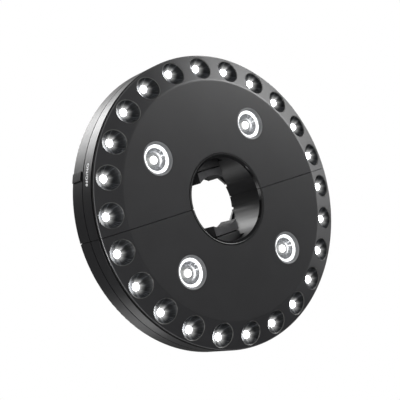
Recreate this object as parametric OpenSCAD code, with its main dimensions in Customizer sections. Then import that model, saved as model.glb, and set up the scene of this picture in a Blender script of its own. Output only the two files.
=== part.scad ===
// Patio umbrella light: a flat round lamp in two halves that closes round a pole.
// The lamp face looks down, along -Z, and the back with its doors and hooks looks up.
// Everything is drawn by its depth from the flat lamp face, then moved so that the
// origin lies on the pole axis, half way up the clamp pads.
// The +Y half holds the switch and is fixed; the -Y half swings on the hinge at -X.

/* [Housing] */
// Outer radius of the housing
body_r = 100; // [99:0.5:104]
// Thickness from the lamp face to the back
body_t = 32.1; // [31.8:0.1:36]
// Wall of the covers
wall = 2; // [1.8:0.1:2.2]
// Radial width of the sloped rim round the flat disc
cone_w = 18.3; // [17.5:0.1:19]
// Drop from the flat disc to the front edge of the rim
rim_drop = 5.2; // [4.6:0.1:5.6]
// Radius of the rounded bead at the rim
bead_r = 1; // [0.8:0.1:1.2]
// Depth of the groove behind the bead
groove_depth = 0.9; // [0.5:0.1:1.2]
// Width of the groove behind the bead
groove_w = 0.8; // [0.5:0.1:1.2]
// Depth from the face at which the front and rear covers meet
parting_d = 18.4; // [18:0.1:18.8]
// Width of the open line between the two covers
parting_w = 0.3; // [0.2:0.1:0.6]
// Radius of the rounding at the back edge
back_round = 2; // [1.5:0.1:2.4]
// Gap between the two halves at the seam
seam_gap = 0.4; // [0.3:0.1:0.6]

/* [Pole bore] */
// Radius of the bore wall
bore_r = 28.5; // [28.2:0.1:28.8]
// Outer radius of the lip at the lamp face
lip_r = 31.2; // [31:0.1:31.6]
// Radial width of the flat crest of the lip
lip_crest = 1; // [0.8:0.1:1.2]
// Depth of the chamfer from the lip down to the bore wall
lip_chamfer = 1.5; // [1.2:0.1:2]
// Wall of the bore tube
tube_wall = 2; // [1.8:0.1:2.1]
// Distance from the axis to the straight tabs at the back of the bore
tab_reach = 26.8; // [26.4:0.1:27.2]
// Direction of the straight tabs from the seam, in degrees
tab_angle = 40.6; // [40:0.2:42]
// Width of the notches beside the tabs
notch_w = 1.8; // [1.4:0.1:2]
// Direction of the notches from the seam, in degrees
notch_angle = 17; // [16:0.2:18]

/* [Pole clamp] */
// Radius of the pole that the pads fit at rest
pad_arc_r = 18; // [17.8:0.1:18.2]
// Half angle of the curved part of each pad, in degrees
pad_half_angle = 34; // [32:0.5:34]
// Width of the jaw and its pad
jaw_w = 20.4; // [20:0.1:20.8]
// Depth of the pad's front end from the lamp face
pad_front_d = 10.5; // [10:0.1:11]
// Depth of the pad's rear end from the lamp face
pad_rear_d = 27.3; // [27:0.1:27.4]
// Distance from the pole axis to the back of the pad
pad_back = 22.6; // [22.2:0.1:22.8]
// Travel of each jaw away from the pole
jaw_travel = 6; // [5:0.5:7]
// Width of the guide plate at the back of the jaw
plate_w = 45.8; // [45:0.1:46]
// Distance from the pole axis to the straight edge of the guide plate
plate_reach = 15.7; // [15.4:0.1:16]
// Thickness of the guide plate
plate_t = 2.3; // [2.1:0.1:2.4]
// Outer diameter of the jaw spring
spring_od = 8; // [7.6:0.1:8.4]
// Wire of the jaw spring
spring_wire = 1; // [0.9:0.05:1.1]
// Turns of the jaw spring
spring_turns = 11; // [9:1:12]

/* [Ring lights] */
// Small lights on the rim of each half
ring_count = 12; // [12]
// Distance of the small lights from the side wall's outside
ring_inset = 8.85; // [8.6:0.05:9]
// Radius of the round bowl about each small light
bowl_r = 8.5; // [8.2:0.1:8.6]
// Depth of the bottom of each bowl
bowl_d = 8.3; // [8:0.1:8.5]
// Wall of each bowl
bowl_wall = 1.4; // [1.2:0.1:1.4]
// Radius of the dome of a small light
bulb_r = 2.4; // [2.3:0.05:2.5]
// Depth of the front of the light board
board_d = 10.4; // [10.2:0.1:10.6]
// Thickness of the light board
board_t = 1.6; // [1.4:0.1:1.6]

/* [Lamps] */
// How far the large lamps stand inward of the middle between the lip and the small lights
lamp_inward = 2.175; // [1.975:0.1:2.475]
// Angle from the seam of the lamp near the latch, in degrees
latch_lamp_angle = 40; // [39:0.5:42]
// Angle from the seam of the lamp near the hinge, in degrees
hinge_lamp_angle = 49.5; // [48:0.5:51]
// Outer radius of the lamp bezel
bezel_r = 11.2; // [10.8:0.1:11.4]
// Radius of the opening of the bezel
bezel_open_r = 9.4; // [9.2:0.1:9.6]
// Radius of the mouth of the reflector
reflector_mouth_r = 7.6; // [7.2:0.1:8]

/* [Batteries] */
// Diameter of an AA cell
cell_dia = 14.2; // [13.8:0.1:14.4]
// Length of an AA cell with its nub
cell_len = 50.2; // [49.6:0.1:50.5]
// Distance from the side wall's inside to the middle of the inner cell
cell_inset = 30.4; // [30.2:0.1:30.6]
// Thickness of the battery door
door_t = 2; // [1.8:0.1:2]

/* [Button, hooks, latch and hinge] */
// Angle of the power button from the seam, in degrees
button_angle = 23.9; // [23:0.2:25]
// Width of the power button round the rim
button_w = 6; // [5.5:0.1:6.5]
// Length of the power button along the axis
button_len = 10.4; // [10:0.1:10.6]
// How far the button stands out of the rim
button_proud = 0.9; // [0.8:0.1:1.2]
// Travel of the button
button_travel = 0.8; // [0.6:0.1:0.8]
// Distance of a hook from the side wall's outside, along the seam
hook_inset = 40; // [39:0.5:41]
// Distance of a hook's pivot from the seam
hook_y = 14; // [13.5:0.5:15]
// Outer radius of a hook's eye
hook_r = 7; // [6.6:0.1:7.2]
// Thickness of a hook
hook_t = 3; // [2.6:0.1:3]
// Travel of the latch slide
latch_travel = 4.6; // [4.2:0.1:4.8]
// Distance of the hinge axis from the side wall's outside
hinge_out = 4; // [4:0.1:5]
// Radius of the hinge barrel
barrel_r = 3.4; // [3.2:0.1:3.5]
// Radius of the hinge pin
hinge_pin_r = 1.25; // [1.1:0.05:1.4]

/* [Hidden] */
// Curve quality of exact round shapes and of hulled ones
$fn = 96;
// Overrun of every cut
over = 1;
// Clearance of a pin that turns in its bore, radial
pin_gap = 0.05;
// Clearance of sliding and dropped-in pieces
slide_gap = 0.3;
// Clearance of pieces that are pressed together
seat_gap = 0.1;
// Half turn of a half housing, and the pitch of the small lights on it, in degrees
half_turn = 180;
ring_pitch = half_turn / ring_count;
// Places that follow the radius of the housing
face_r = body_r - cone_w;
ring_r = body_r - ring_inset;
hook_x = body_r - hook_inset;
hinge_x = body_r + hinge_out;
// The origin: half way along the clamp pads
origin_d = (pad_front_d + pad_rear_d) / 2;
// Slope of the cone between the flat disc and the rim
cone_angle = atan2(rim_drop, body_r - face_r);
// Centre of the bead that touches the cone and the side wall
bead_x = body_r - bead_r;
bead_d = bead_r * cos(cone_angle) + (bead_x + bead_r * sin(cone_angle) - face_r) * tan(cone_angle);
inner_r = body_r - wall;
back_d = body_t - wall;
tube_r = bore_r + tube_wall;
front_hole_r = lip_r + seat_gap;
lamp_circle_r = (lip_r + ring_r) / 2 - lamp_inward;
cell_y = inner_r - cell_inset;
board_back_d = board_d + board_t;

// Where the covers meet: the rear cover's tongue lies inside the front band
band_tongue_t = 1.1;
band_tongue_len = 2;
band_step = 0.9;
seam_wall_t = 1.8;

// A rib round the seam of the fixed half lies in a groove of the other half and shuts out the light
seam_rib_w = 0.7;
seam_rib_in = 0.65;
seam_rib_out = 0.5;
seam_rib_gap = 0.2;

// Jaws: the rear guide plate, the slide behind the pad, and the windows they pass through
plate_front_d = pad_rear_d + slide_gap;
plate_rear_d = plate_front_d + plate_t;
pad_fit = 0.5;
jaw_face_y = pad_back + pad_fit;
plate_len = 17.3;
plate_end_y = plate_reach + plate_len;
plate_notch_w = 25.2;
plate_notch_gap = 0.2;
plate_notch_y = pad_arc_r + plate_notch_gap;
plate_chamfer = 1.6;
window_room = 1.8;
window_w = jaw_w + 2 * window_room;
window_front_room = 3;
window_front_d = pad_front_d - window_front_room;
rail_t = 2;
rail_room = 1.9;
rail_start_y = tube_r + rail_room;
jaw_wall = 2;
pad_key_w = 9;
pad_key_len = 12;
pad_key_in = 2.6;
pad_edge_y = pad_arc_r * cos(pad_half_angle);
peg_r = spring_od / 2 - spring_wire - slide_gap;
peg_len = 4;
spring_start_y = jaw_face_y + jaw_wall;
jaw_len_share = 0.53;
rail_end_room = 6.6;
rail_rib_share = 0.39;

// Battery bay: two cells side by side, with room for the contacts at both ends
cell_gap = 0.4;
cell_pitch = cell_dia + cell_gap;
contact_t = 0.5;
contact_room = 2.9;
bay_x = cell_len / 2 + contact_room;
bay_wall = 1.6;
plate_x = bay_x - contact_t;
contact_coil_len = 2 * plate_x - cell_len;
bay_y0 = cell_y - cell_dia / 2 - slide_gap;
bay_y1 = cell_y + cell_pitch + cell_dia / 2 + slide_gap;
cell_d = back_d - slide_gap - seat_gap - cell_dia / 2;
bay_d = cell_d - cell_dia / 2 - seat_gap;
door_knuckle_r = 1.5;
door_pin_r = 0.9;
door_pin_len = 3.2;
door_axis_in = 1;
door_axis_y = bay_y0 - door_axis_in;
door_axis_d = body_t - door_knuckle_r;
door_side_lap = 2.2;
door_x = bay_x + door_side_lap;
door_end_lap = 1.7;
door_y1 = bay_y1 + door_end_lap;
door_lug_w = 4.4;

// The jaw and its rails fill the room between the bore and the bay
spring_seat_y = bay_y0 - bay_wall;
jaw_end_y = jaw_face_y + jaw_len_share * (spring_seat_y - jaw_face_y);
rail_end_y = spring_seat_y - rail_end_room;
rail_rib_y = rail_start_y + rail_rib_share * (rail_end_y - rail_start_y);

// Screws that join the covers, at two places mirrored across each half; the inner one stands
// inward of the lamp near the latch, and the outer one beside the bay, beyond the lamp near the hinge
inner_screw_in = 14.1;
inner_screw_angle = 32.3;
inner_screw_r = lamp_circle_r - inner_screw_in;
outer_screw_gap = 0.6;
outer_screw_out = 23.1;
screw_r = 1.25;
screw_head_r = 2.9;
screw_head_t = 2;
screw_len = 9;
boss_r = 3.4;
well_r = 4.6;
well_bore_r = screw_head_r + slide_gap;
outer_screw_x = door_x + slide_gap + bay_wall + outer_screw_gap + well_r - slide_gap;
outer_screw_y = lamp_circle_r * sin(hinge_lamp_angle) + outer_screw_out;
screw_places = [[inner_screw_r * cos(inner_screw_angle), inner_screw_r * sin(inner_screw_angle)],
    [outer_screw_x, outer_screw_y]];
well_floor = 1.6;

// Small lights
bulb_flange_r = 2.9;
bulb_flange_t = 0.9;
bulb_hole_gap = 0.15;
bulb_top_d = 6;
bowl_centre_d = bowl_d - bowl_r;
collar_r = 4.2;

// Lamps: bezel, lens, reflector and chip are stacked in a well in the front cover
lamp_angles = [latch_lamp_angle, half_turn - hinge_lamp_angle];
lamp_well_r = bezel_r - 1;
lamp_well_wall = 1.6;
bezel_t = 1.6;
bezel_flange_t = 0.8;
bezel_slope = 1;
lens_t = 1.1;
lens_r = lamp_well_r - seat_gap;
lens_d = bezel_t;
reflector_d = lens_d + lens_t;
reflector_end_gap = 1.2;
reflector_len = board_d - reflector_d - reflector_end_gap;
chip_w = 5.4;
chip_t = 1.1;
chip_dome_r = 2.9;
chip_lens_gap = 0.6;
chip_mid_d = reflector_d + chip_lens_gap + chip_dome_r;
reflector_throat_r = chip_dome_r + slide_gap;

// Button: cap, flange and stem, in front of a small switch on an upright board
button_gap = 0.3;
button_mid_d = back_d - seat_gap - button_len / 2;
button_flange_t = 1.2;
button_flange_out = 1.2;
button_flange_low = 1.3;
button_flange_d0 = button_mid_d - button_len / 2 + button_flange_low;
button_flange_x = inner_r - slide_gap - button_flange_t;
switch_board_inset = 12;
switch_board_x = inner_r - switch_board_inset;
switch_board_t = 1.2;
switch_board_w = 15;
switch_board_foot = 0.9;
switch_board_d0 = parting_d - switch_board_foot;
switch_w = 6;
switch_t = 3.5;
plunger_r = 1.7;
switch_x = switch_board_x + switch_board_t;
slot_post = 2.4;

// Hooks: an open eye on a stem, folded flat into a pocket in the back
hook_eye_r = 4;
hook_gap_w = 4.4;
hook_stem = 12;
hook_stem_w = 5;
hook_barrel_r = hook_t / 2;
hook_barrel_w = 9;
hook_pin_r = 0.9;
hook_pin_len = 2.4;
pocket_depth = 3.4;
pocket_floor = 1.5;
pocket_gap = 0.8;
pocket_finger = 2.2;
pocket_x = hook_r + pocket_gap;
pocket_y0 = hook_y - hook_barrel_r - pocket_gap;
pocket_y1 = hook_y + hook_stem + hook_r + pocket_finger;
hook_axis_d = body_t - hook_barrel_r - seat_gap;
pocket_wall = 1.4;
pocket_narrow = hook_barrel_w / 2 + slide_gap;

// Latch: a slide in the back of the fixed half that hooks a tongue of the other half
latch_inset = 26;
latch_x = body_r - latch_inset;
latch_y = 5.4;
latch_len = 10;
latch_w = 7.6;
latch_t = 2.2;
latch_track_floor = 1.5;
latch_stem_w = 2.6;
latch_stem_len = 3;
latch_foot_w = 5.4;
latch_foot_t = 0.9;
latch_foot_d = body_t - latch_t - 2 * seat_gap - latch_track_floor;
tongue_lead = 4.2;
tongue_w = 7.8;
tongue_x0 = latch_x + tongue_lead;
tongue_x1 = tongue_x0 + tongue_w;
tongue_past = 4;
tongue_y = latch_y + tongue_past;
tongue_t = 2.8;
tongue_room = 0.5;
tongue_d0 = latch_foot_d - latch_foot_t - tongue_t - tongue_room;
tongue_notch_x = 4.2;
tongue_notch_w = 3.4;
tongue_gap = 0.7;

// Hinge: three knuckles outside the rear band at the -X end of the seam
knuckle_d0 = 19.2;
knuckle_d1 = 31;
knuckle_mid = 3.9;
knuckle_gap = 0.2;
knuckle_arm_y = 10;
knuckle_d2 = (knuckle_d0 + knuckle_d1 - knuckle_mid) / 2;
knuckle_d3 = knuckle_d2 + knuckle_mid;
pin_head_r = 2.2;
pin_head_t = 0.7;

// Lead between the boards, through the seam walls beside the hinge
lead_r = 1.1;
lead_sides = 8;
lead_hole_r = 2.2;
lead_inset = 10;
lead_x = inner_r - lead_inset;
lead_rise = 3;
lead_d = board_back_d + lead_rise;
// points from the middle of the lead's hole in the seam wall
lead_route = [[4, 13, -3], [4, 13, -1.8], [3.6, 12.2, -0.6], [2.4, 10.4, 0], [0.8, 7.6, 0],
    [0, 4.4, 0], [0, 0, 0], [0, -4.4, 0], [0.8, -7.6, 0], [2.4, -10.4, 0],
    [3.6, -12.2, -0.6], [4, -13, -1.8], [4, -13, -3]];
switch_lead_r = 0.8;
// points from the foot of the switch's board, on the face of the light board
switch_lead_route = [[0, 4, 9], [-1, 4, 9], [-2.6, 3.9, 8.4], [-3.8, 3.6, 6.8], [-4.4, 3.2, 4.6], [-4.6, 3, 2.2],
    [-4.6, 3, 0]];

// Shell colours
charcoal = "#2b2b2d";
rubber_grey = "#5c5c5e";
steel = "silver";
board_green = "#1f5a37";

// Puts a piece that is drawn by depth from the lamp face into the part's frame
module seated() {
    translate([0, 0, -origin_d]) children();
}

// The other half's piece is the mirror image across the seam
module swung() {
    mirror([0, 1, 0]) children();
}

// Keeps what lies on the +Y side of the seam
module one_half() {
    reach = hinge_x + body_r;
    intersection() {
        children();
        translate([-reach, seam_gap / 2, -body_t]) cube([2 * reach, reach, 3 * body_t]);
    }
}

// Copies a piece to both sides of the half's middle
module both_sides() {
    children();
    mirror([1, 0, 0]) children();
}

// A box given by its lowest and highest corners
module block(low, high) {
    translate(low) cube(high - low);
}

module at_ring_lights() {
    for (i = [0 : ring_count - 1]) {
        rotate([0, 0, (i + 0.5) * ring_pitch]) translate([ring_r, 0, 0]) children();
    }
}

module at_lamps() {
    for (angle = lamp_angles) {
        rotate([0, 0, angle]) translate([lamp_circle_r, 0, 0]) children();
    }
}

module at_screws() {
    both_sides() for (place = screw_places) translate([place.x, place.y, 0]) children();
}

// Outline of the front cover's outside: disc, cone, bead and side wall, in radius and depth
module front_outline(inset) {
    slope = tan(cone_angle);
    lift = inset / cos(cone_angle);
    touch_r = bead_x + bead_r * sin(cone_angle);
    touch_d = bead_d - bead_r * cos(cone_angle);
    if (inset == 0) {
        polygon([[0, 0], [face_r, 0], [touch_r, touch_d], [bead_x, bead_d], [body_r, bead_d],
            [body_r, parting_d - parting_w / 2], [0, parting_d - parting_w / 2]]);
        translate([bead_x, bead_d]) circle(bead_r);
    } else {
        polygon([[0, inset], [face_r - (lift - inset) / slope, inset],
            [inner_r, (inner_r - face_r) * slope + lift], [inner_r, parting_d + over], [0, parting_d + over]]);
    }
}

module front_shell() {
    rotate_extrude() difference() {
        front_outline(0);
        front_outline(wall);
        translate([body_r - groove_depth, bead_d + bead_r]) square([groove_depth + over, groove_w]);
        square([2 * front_hole_r, 4 * wall], center = true);
    }
}

// Round cups behind the bowls, cut to the housing's outside, with collars that carry the light board
module bowl_cups() {
    intersection() {
        at_ring_lights() {
            translate([0, 0, bowl_centre_d]) sphere(bowl_r + bowl_wall);
            translate([0, 0, bowl_d]) cylinder(r = collar_r, h = board_d - bowl_d);
        }
        rotate_extrude() front_outline(0);
    }
}

module bowl_cuts() {
    at_ring_lights() {
        translate([0, 0, bowl_centre_d]) sphere(bowl_r);
        translate([0, 0, bowl_d - over]) cylinder(r = bulb_r + bulb_hole_gap, h = 4 * over);
        translate([0, 0, board_d - bulb_flange_t]) cylinder(r = bulb_flange_r + bulb_hole_gap, h = 2 * over);
    }
}

// Rails that guide the jaw, and ribs that it slides over
module jaw_guides() {
    rail_x = jaw_w / 2 + slide_gap;
    both_sides() block([rail_x, rail_start_y, wall / 2], [rail_x + rail_t, rail_end_y, pad_rear_d - slide_gap]);
    for (y = [rail_start_y, rail_rib_y]) {
        block([-rail_x - rail_t, y, wall / 2], [rail_x + rail_t, y + rail_t, pad_front_d - slide_gap]);
    }
}

module front_cover() {
    difference() {
        union() {
            one_half() front_shell();
            one_half() bowl_cups();
            at_lamps() translate([0, 0, wall / 2])
                cylinder(r = lamp_well_r + lamp_well_wall, h = board_d - wall / 2);
            at_screws() translate([0, 0, wall / 2]) cylinder(r = boss_r, h = parting_d - wall / 2);
            jaw_guides();
        }
        bowl_cuts();
        at_lamps() {
            translate([0, 0, -over]) cylinder(r = bezel_r + seat_gap, h = over + bezel_flange_t);
            cylinder(r = lamp_well_r, h = board_d + over);
        }
        at_screws() translate([0, 0, parting_d - screw_len])
            cylinder(r = screw_r + pin_gap, h = screw_len + over);
    }
}

// Section of the rear cover: lip, bore tube, back, band and the tongue inside the front band
module rear_section() {
    crest_r = lip_r - lip_crest;
    bevel = lip_crest / 4;
    lip_end_d = lip_chamfer + wall;
    band_d = parting_d + parting_w / 2;
    tongue_r = inner_r - seat_gap;
    difference() {
        polygon([[bore_r, lip_chamfer], [crest_r, 0], [lip_r - bevel, 0], [lip_r, bevel], [lip_r, lip_end_d],
            [tube_r, lip_end_d + lip_r - tube_r], [tube_r, back_d], [inner_r, back_d], [inner_r, band_d + 2 * band_step],
            [tongue_r - band_tongue_t, band_d + band_step], [tongue_r - band_tongue_t, parting_d - band_tongue_len],
            [tongue_r, parting_d - band_tongue_len], [tongue_r, band_d], [body_r, band_d], [body_r, body_t],
            [bore_r, body_t]]);
        difference() {
            translate([body_r - back_round, body_t - back_round]) square(back_round + over);
            translate([body_r - back_round, body_t - back_round]) circle(back_round);
        }
    }
}

module block_2d(low, high) {
    translate(low) square(high - low);
}

// Walls along the seam that close the rear cover's hollow; they follow the inside of the cone
module seam_walls() {
    near_x = bore_r + tube_wall / 2;
    far_x = inner_r - slide_gap;
    low_d = wall + slide_gap;
    slope = tan(cone_angle);
    both_sides() translate([0, seam_gap / 2 + seam_wall_t, 0]) rotate([90, 0, 0]) linear_extrude(seam_wall_t)
        polygon([[near_x, low_d], [face_r, low_d + slide_gap], [far_x, low_d + slide_gap + (far_x - face_r) * slope],
            [far_x, parting_d + parting_w / 2], [inner_r + wall / 2, parting_d + parting_w / 2],
            [inner_r + wall / 2, body_t - wall / 2], [near_x, body_t - wall / 2]]);
}

// Outline of the seam's face of a rear cover, in distance along the seam and depth, drawn in by t
function seam_outline(t) =
    let (corner = tan(half_turn / 8), low_d = wall + slide_gap + t, end_x = inner_r - slide_gap - t,
        band_d = parting_d + parting_w / 2 + t)
    [[bore_r + t, body_t - t], [body_r - back_round - corner * t, body_t - t],
        [body_r - t, body_t - back_round - corner * t], [body_r - t, band_d], [end_x, band_d],
        [end_x, low_d + slide_gap + (end_x - face_r) * tan(cone_angle)], [face_r, low_d + slide_gap],
        [bore_r + t, low_d]];

// The rib round the seam, or with a gap, its groove
module seam_ring(gap, low_y, high_y) {
    both_sides() translate([0, high_y, 0]) rotate([90, 0, 0]) linear_extrude(high_y - low_y) difference() {
        polygon(seam_outline(seam_rib_in - gap));
        polygon(seam_outline(seam_rib_in + seam_rib_w + gap));
    }
}

// Walls and floor of the battery bay
module bay_box() {
    block([-bay_x - bay_wall, bay_y0 - bay_wall, bay_d - bay_wall],
        [bay_x + bay_wall, bay_y1 + bay_wall, body_t - wall / 2]);
    // ledge round the bay that joins its walls to the back
    ledge_x = door_x + slide_gap + bay_wall;
    block([-ledge_x, bay_y0 - bay_wall, back_d - bay_wall],
        [ledge_x, door_y1 + slide_gap + bay_wall, body_t - wall / 2]);
}

module bay_cut() {
    difference() {
        block([-bay_x, bay_y0, bay_d], [bay_x, bay_y1, body_t + over]);
        // low ridge between the cells
        ridge_y = cell_y + cell_pitch / 2;
        block([-bay_x / 2, ridge_y - wall / 4, bay_d - over], [bay_x / 2, ridge_y + wall / 4, bay_d + wall]);
    }
    // the door's seat, and room for its barrel and pins
    block([-door_x - slide_gap, door_axis_y, back_d], [door_x + slide_gap, door_y1 + slide_gap, body_t + over]);
    translate([-door_x - slide_gap, door_axis_y, door_axis_d]) rotate([0, 90, 0])
        cylinder(r = door_knuckle_r + seat_gap, h = 2 * (door_x + slide_gap));
    block([-door_x - slide_gap, door_axis_y - door_knuckle_r - seat_gap, door_axis_d],
        [door_x + slide_gap, door_axis_y + over, body_t + over]);
    translate([-door_x - slide_gap - door_pin_len, door_axis_y, door_axis_d]) rotate([0, 90, 0])
        cylinder(r = door_pin_r + pin_gap, h = 2 * (door_x + slide_gap + door_pin_len));
    // slots in the floor for the contacts' tails
    for (y = [cell_y, cell_y + cell_pitch]) {
        block([plate_x - seat_gap, y - contact_tail_w, bay_d - 2 * bay_wall], [bay_x, y + contact_tail_w, bay_d + over]);
    }
}

// Blocks under the back that hold the door's pins
module door_lugs() {
    both_sides() block([door_x + slide_gap, door_axis_y - door_lug_w / 2, back_d - wall],
        [door_x + slide_gap + door_lug_w, door_axis_y + door_lug_w / 2, body_t - wall / 2]);
}

module screw_wells() {
    at_screws() translate([0, 0, parting_d]) cylinder(r = well_r, h = back_d - parting_d + wall / 2);
}

module screw_well_cuts() {
    at_screws() {
        translate([0, 0, parting_d - over]) cylinder(r = screw_r + slide_gap, h = body_t);
        translate([0, 0, parting_d + well_floor]) cylinder(r = well_bore_r, h = body_t);
    }
}

// Hook pocket, with narrow walls at its pivot end that hold the hook's pins
module hook_pocket_box() {
    block([hook_x - pocket_x - pocket_wall, pocket_y0 - pocket_wall, body_t - pocket_depth - pocket_floor],
        [hook_x + pocket_x + pocket_wall, pocket_y1 + pocket_wall, body_t - wall / 2]);
}

module hook_pocket_cut() {
    pocket_d = body_t - pocket_depth;
    block([hook_x - pocket_x, hook_y + hook_barrel_r + wall, pocket_d], [hook_x + pocket_x, pocket_y1, body_t + over]);
    block([hook_x - pocket_narrow, pocket_y0, pocket_d], [hook_x + pocket_narrow, pocket_y1, body_t + over]);
    translate([hook_x, hook_y, hook_axis_d]) rotate([0, 90, 0])
        cylinder(r = hook_pin_r + pin_gap, h = 2 * (pocket_narrow + hook_pin_len), center = true);
}

// Straight tabs that narrow the bore at the back, with a notch on the seam side of each
module back_tabs() {
    translate([0, 0, back_d]) linear_extrude(wall) difference() {
        circle(bore_r + tube_wall / 2);
        intersection() {
            circle(bore_r);
            for_all_tabs() square([2 * tab_reach, 3 * bore_r], center = true);
        }
        block_2d([-bore_r, -bore_r], [bore_r, 0]);
    }
}

module for_all_tabs() {
    intersection() {
        rotate(tab_angle) children();
        rotate(-tab_angle) children();
    }
}

module tab_notches() {
    both_sides() rotate([0, 0, notch_angle])
        block([tab_reach - over, -notch_w / 2, back_d], [bore_r + 0.75 * notch_w, notch_w / 2, body_t + over]);
}

// Windows in the bore tube for the jaw and for its guide plate
module jaw_windows() {
    block([-window_w / 2, bore_r / 2, window_front_d], [window_w / 2, tube_r + wall / 4, plate_front_d]);
    block([-plate_w / 2 - slide_gap, 0, plate_front_d - slide_gap / 2], [plate_w / 2 + slide_gap, tube_r + wall / 4, back_d]);
}

// The button's opening in the band, and two grooved posts for its board
module button_frame() {
    rotate([0, 0, button_angle]) children();
}

module board_posts() {
    button_frame() for (side = [-1, 1]) translate([0, side * (switch_board_w / 2), 0]) difference() {
        block([switch_board_x - slot_post / 2, -slot_post / 2, switch_board_d0],
            [switch_x + slot_post / 2, slot_post / 2, back_d + wall / 2]);
        block([switch_board_x - seat_gap, -slot_post, switch_board_d0 - over],
            [switch_x + seat_gap, slot_post, back_d]);
    }
}

module button_cut() {
    button_frame() block([inner_r - 2 * wall, -button_w / 2 - button_gap, button_mid_d - button_len / 2 - button_gap],
        [body_r + over, button_w / 2 + button_gap, button_mid_d + button_len / 2 + button_gap]);
}

// One knuckle of the hinge with its arm to the side wall
module knuckle(low_d, high_d) {
    wall_y = sqrt(pow(body_r - wall / 2, 2) - pow(knuckle_arm_y, 2));
    difference() {
        translate([0, 0, low_d]) linear_extrude(high_d - low_d) difference() {
            union() {
                translate([-hinge_x, 0]) circle(barrel_r);
                polygon([[-hinge_x, barrel_r], [-wall_y, knuckle_arm_y], [-body_r + wall / 2, seam_gap / 2],
                    [-hinge_x, seam_gap / 2]]);
            }
            circle(body_r - wall / 2);
        }
        translate([-hinge_x, 0, 0]) cylinder(r = hinge_pin_r + pin_gap, h = 2 * body_t);
    }
}

// What both rear covers share; the hook's pocket is on one side or the other
module hook_side(side) {
    if (side > 0) {
        children();
    } else {
        mirror([1, 0, 0]) children();
    }
}

module rear_cover(side) {
    difference() {
        union() {
            difference() {
                union() {
                    one_half() rotate_extrude() rear_section();
                    one_half() back_tabs();
                    seam_walls();
                    bay_box();
                    door_lugs();
                    screw_wells();
                    hook_side(side) hook_pocket_box();
                }
                jaw_windows();
                bay_cut();
                screw_well_cuts();
                hook_side(side) hook_pocket_cut();
                tab_notches();
            }
            // peg on the bay wall that holds the end of the jaw spring
            translate([0, spring_seat_y, origin_d]) rotate([90, 0, 0]) cylinder(r = peg_r, h = peg_len);
        }
        translate([-lead_x, 0, lead_d]) rotate([90, 0, 0]) cylinder(r = lead_hole_r, h = 4 * wall, center = true);
    }
}

module latch_track_box() {
    block([latch_x - latch_len / 2 - pocket_wall, seam_gap / 2, body_t - latch_t - latch_track_floor - seat_gap],
        [latch_x + latch_len / 2 + latch_travel + pocket_wall + slide_gap, latch_y + latch_w / 2 + pocket_wall, back_d + over / 2]);
}

module latch_track_cut() {
    block([latch_x - latch_len / 2 - slide_gap, latch_y - latch_w / 2 - slide_gap, body_t - latch_t - seat_gap],
        [latch_x + latch_len / 2 + latch_travel + slide_gap, latch_y + latch_w / 2 + slide_gap, body_t + over]);
    block([latch_x - latch_stem_len / 2 - slide_gap, latch_y - latch_stem_w / 2 - slide_gap, tongue_d0],
        [latch_x + latch_stem_len / 2 + latch_travel + slide_gap, latch_y + latch_stem_w / 2 + slide_gap, body_t]);
    // the tongue's way through the seam wall
    block([tongue_x0 - tongue_gap, 0, tongue_d0 - tongue_gap], [tongue_x1 + tongue_gap, 2 * wall, tongue_d0 + tongue_t + tongue_gap]);
}

module switch_front_cover() {
    color(charcoal) seated() front_cover();
}

module switch_rear_cover() {
    color(charcoal) seated() difference() {
        union() {
            rear_cover(1);
            knuckle(knuckle_d0, knuckle_d2 - knuckle_gap);
            knuckle(knuckle_d3 + knuckle_gap, knuckle_d1);
            board_posts();
            latch_track_box();
            seam_ring(0, -seam_gap / 2 - seam_rib_out, seam_wall_t / 2);
        }
        latch_track_cut();
        button_cut();
    }
}

module swing_front_cover() {
    color(charcoal) seated() swung() front_cover();
}

// The tongue that the latch holds reaches across the seam into the other half
module latch_tongue() {
    difference() {
        union() {
            block([tongue_x0, -tongue_y, tongue_d0], [tongue_x1, seam_gap, tongue_d0 + tongue_t]);
            block([tongue_x0, 0, tongue_d0 - wall], [tongue_x1, wall, back_d + over / 2]);
        }
        block([tongue_x0 - over, -latch_y - tongue_notch_w / 2, tongue_d0 - over],
            [tongue_x0 + tongue_notch_x, -latch_y + tongue_notch_w / 2, tongue_d0 + tongue_t + over]);
        block([tongue_x0 - over, -seam_gap / 2, tongue_d0 - 2 * wall], [tongue_x1 + over, seam_gap / 2, tongue_d0]);
        block([tongue_x0 - over, -seam_gap / 2, tongue_d0 + tongue_t], [tongue_x1 + over, seam_gap / 2, body_t]);
    }
}

module swing_rear_cover() {
    color(charcoal) seated() swung() difference() {
        union() {
            rear_cover(-1);
            knuckle(knuckle_d2, knuckle_d3);
            latch_tongue();
        }
        seam_ring(seam_rib_gap, 0, seam_gap / 2 + seam_rib_out + seam_rib_gap);
    }
}

// Half-ring light board, cut away round the jaw and the screw bosses
module led_board() {
    translate([0, 0, board_d]) linear_extrude(board_t) difference() {
        circle(inner_r - wall - slide_gap);
        circle(lip_r + 4 * wall);
        block_2d([-2 * body_r, -2 * body_r], [2 * body_r, 3 * wall / 2]);
        block_2d([-jaw_w / 2 - rail_t - 2 * slide_gap, 0], [jaw_w / 2 + rail_t + 2 * slide_gap, rail_end_y + slide_gap]);
        at_screws() circle(boss_r + slide_gap);
    }
}

module switch_led_board() {
    color(board_green) seated() led_board();
}

module swing_led_board() {
    color(board_green) seated() swung() led_board();
}

// Small light: flange on the board and a dome through the bottom of the bowl
module ring_lights() {
    at_ring_lights() {
        translate([0, 0, board_d - bulb_flange_t]) cylinder(r = bulb_flange_r, h = bulb_flange_t);
        translate([0, 0, bulb_top_d + bulb_r]) cylinder(r = bulb_r, h = board_d - bulb_flange_t / 2 - bulb_top_d - bulb_r);
        dome(bulb_r, bulb_top_d);
    }
}

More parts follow.
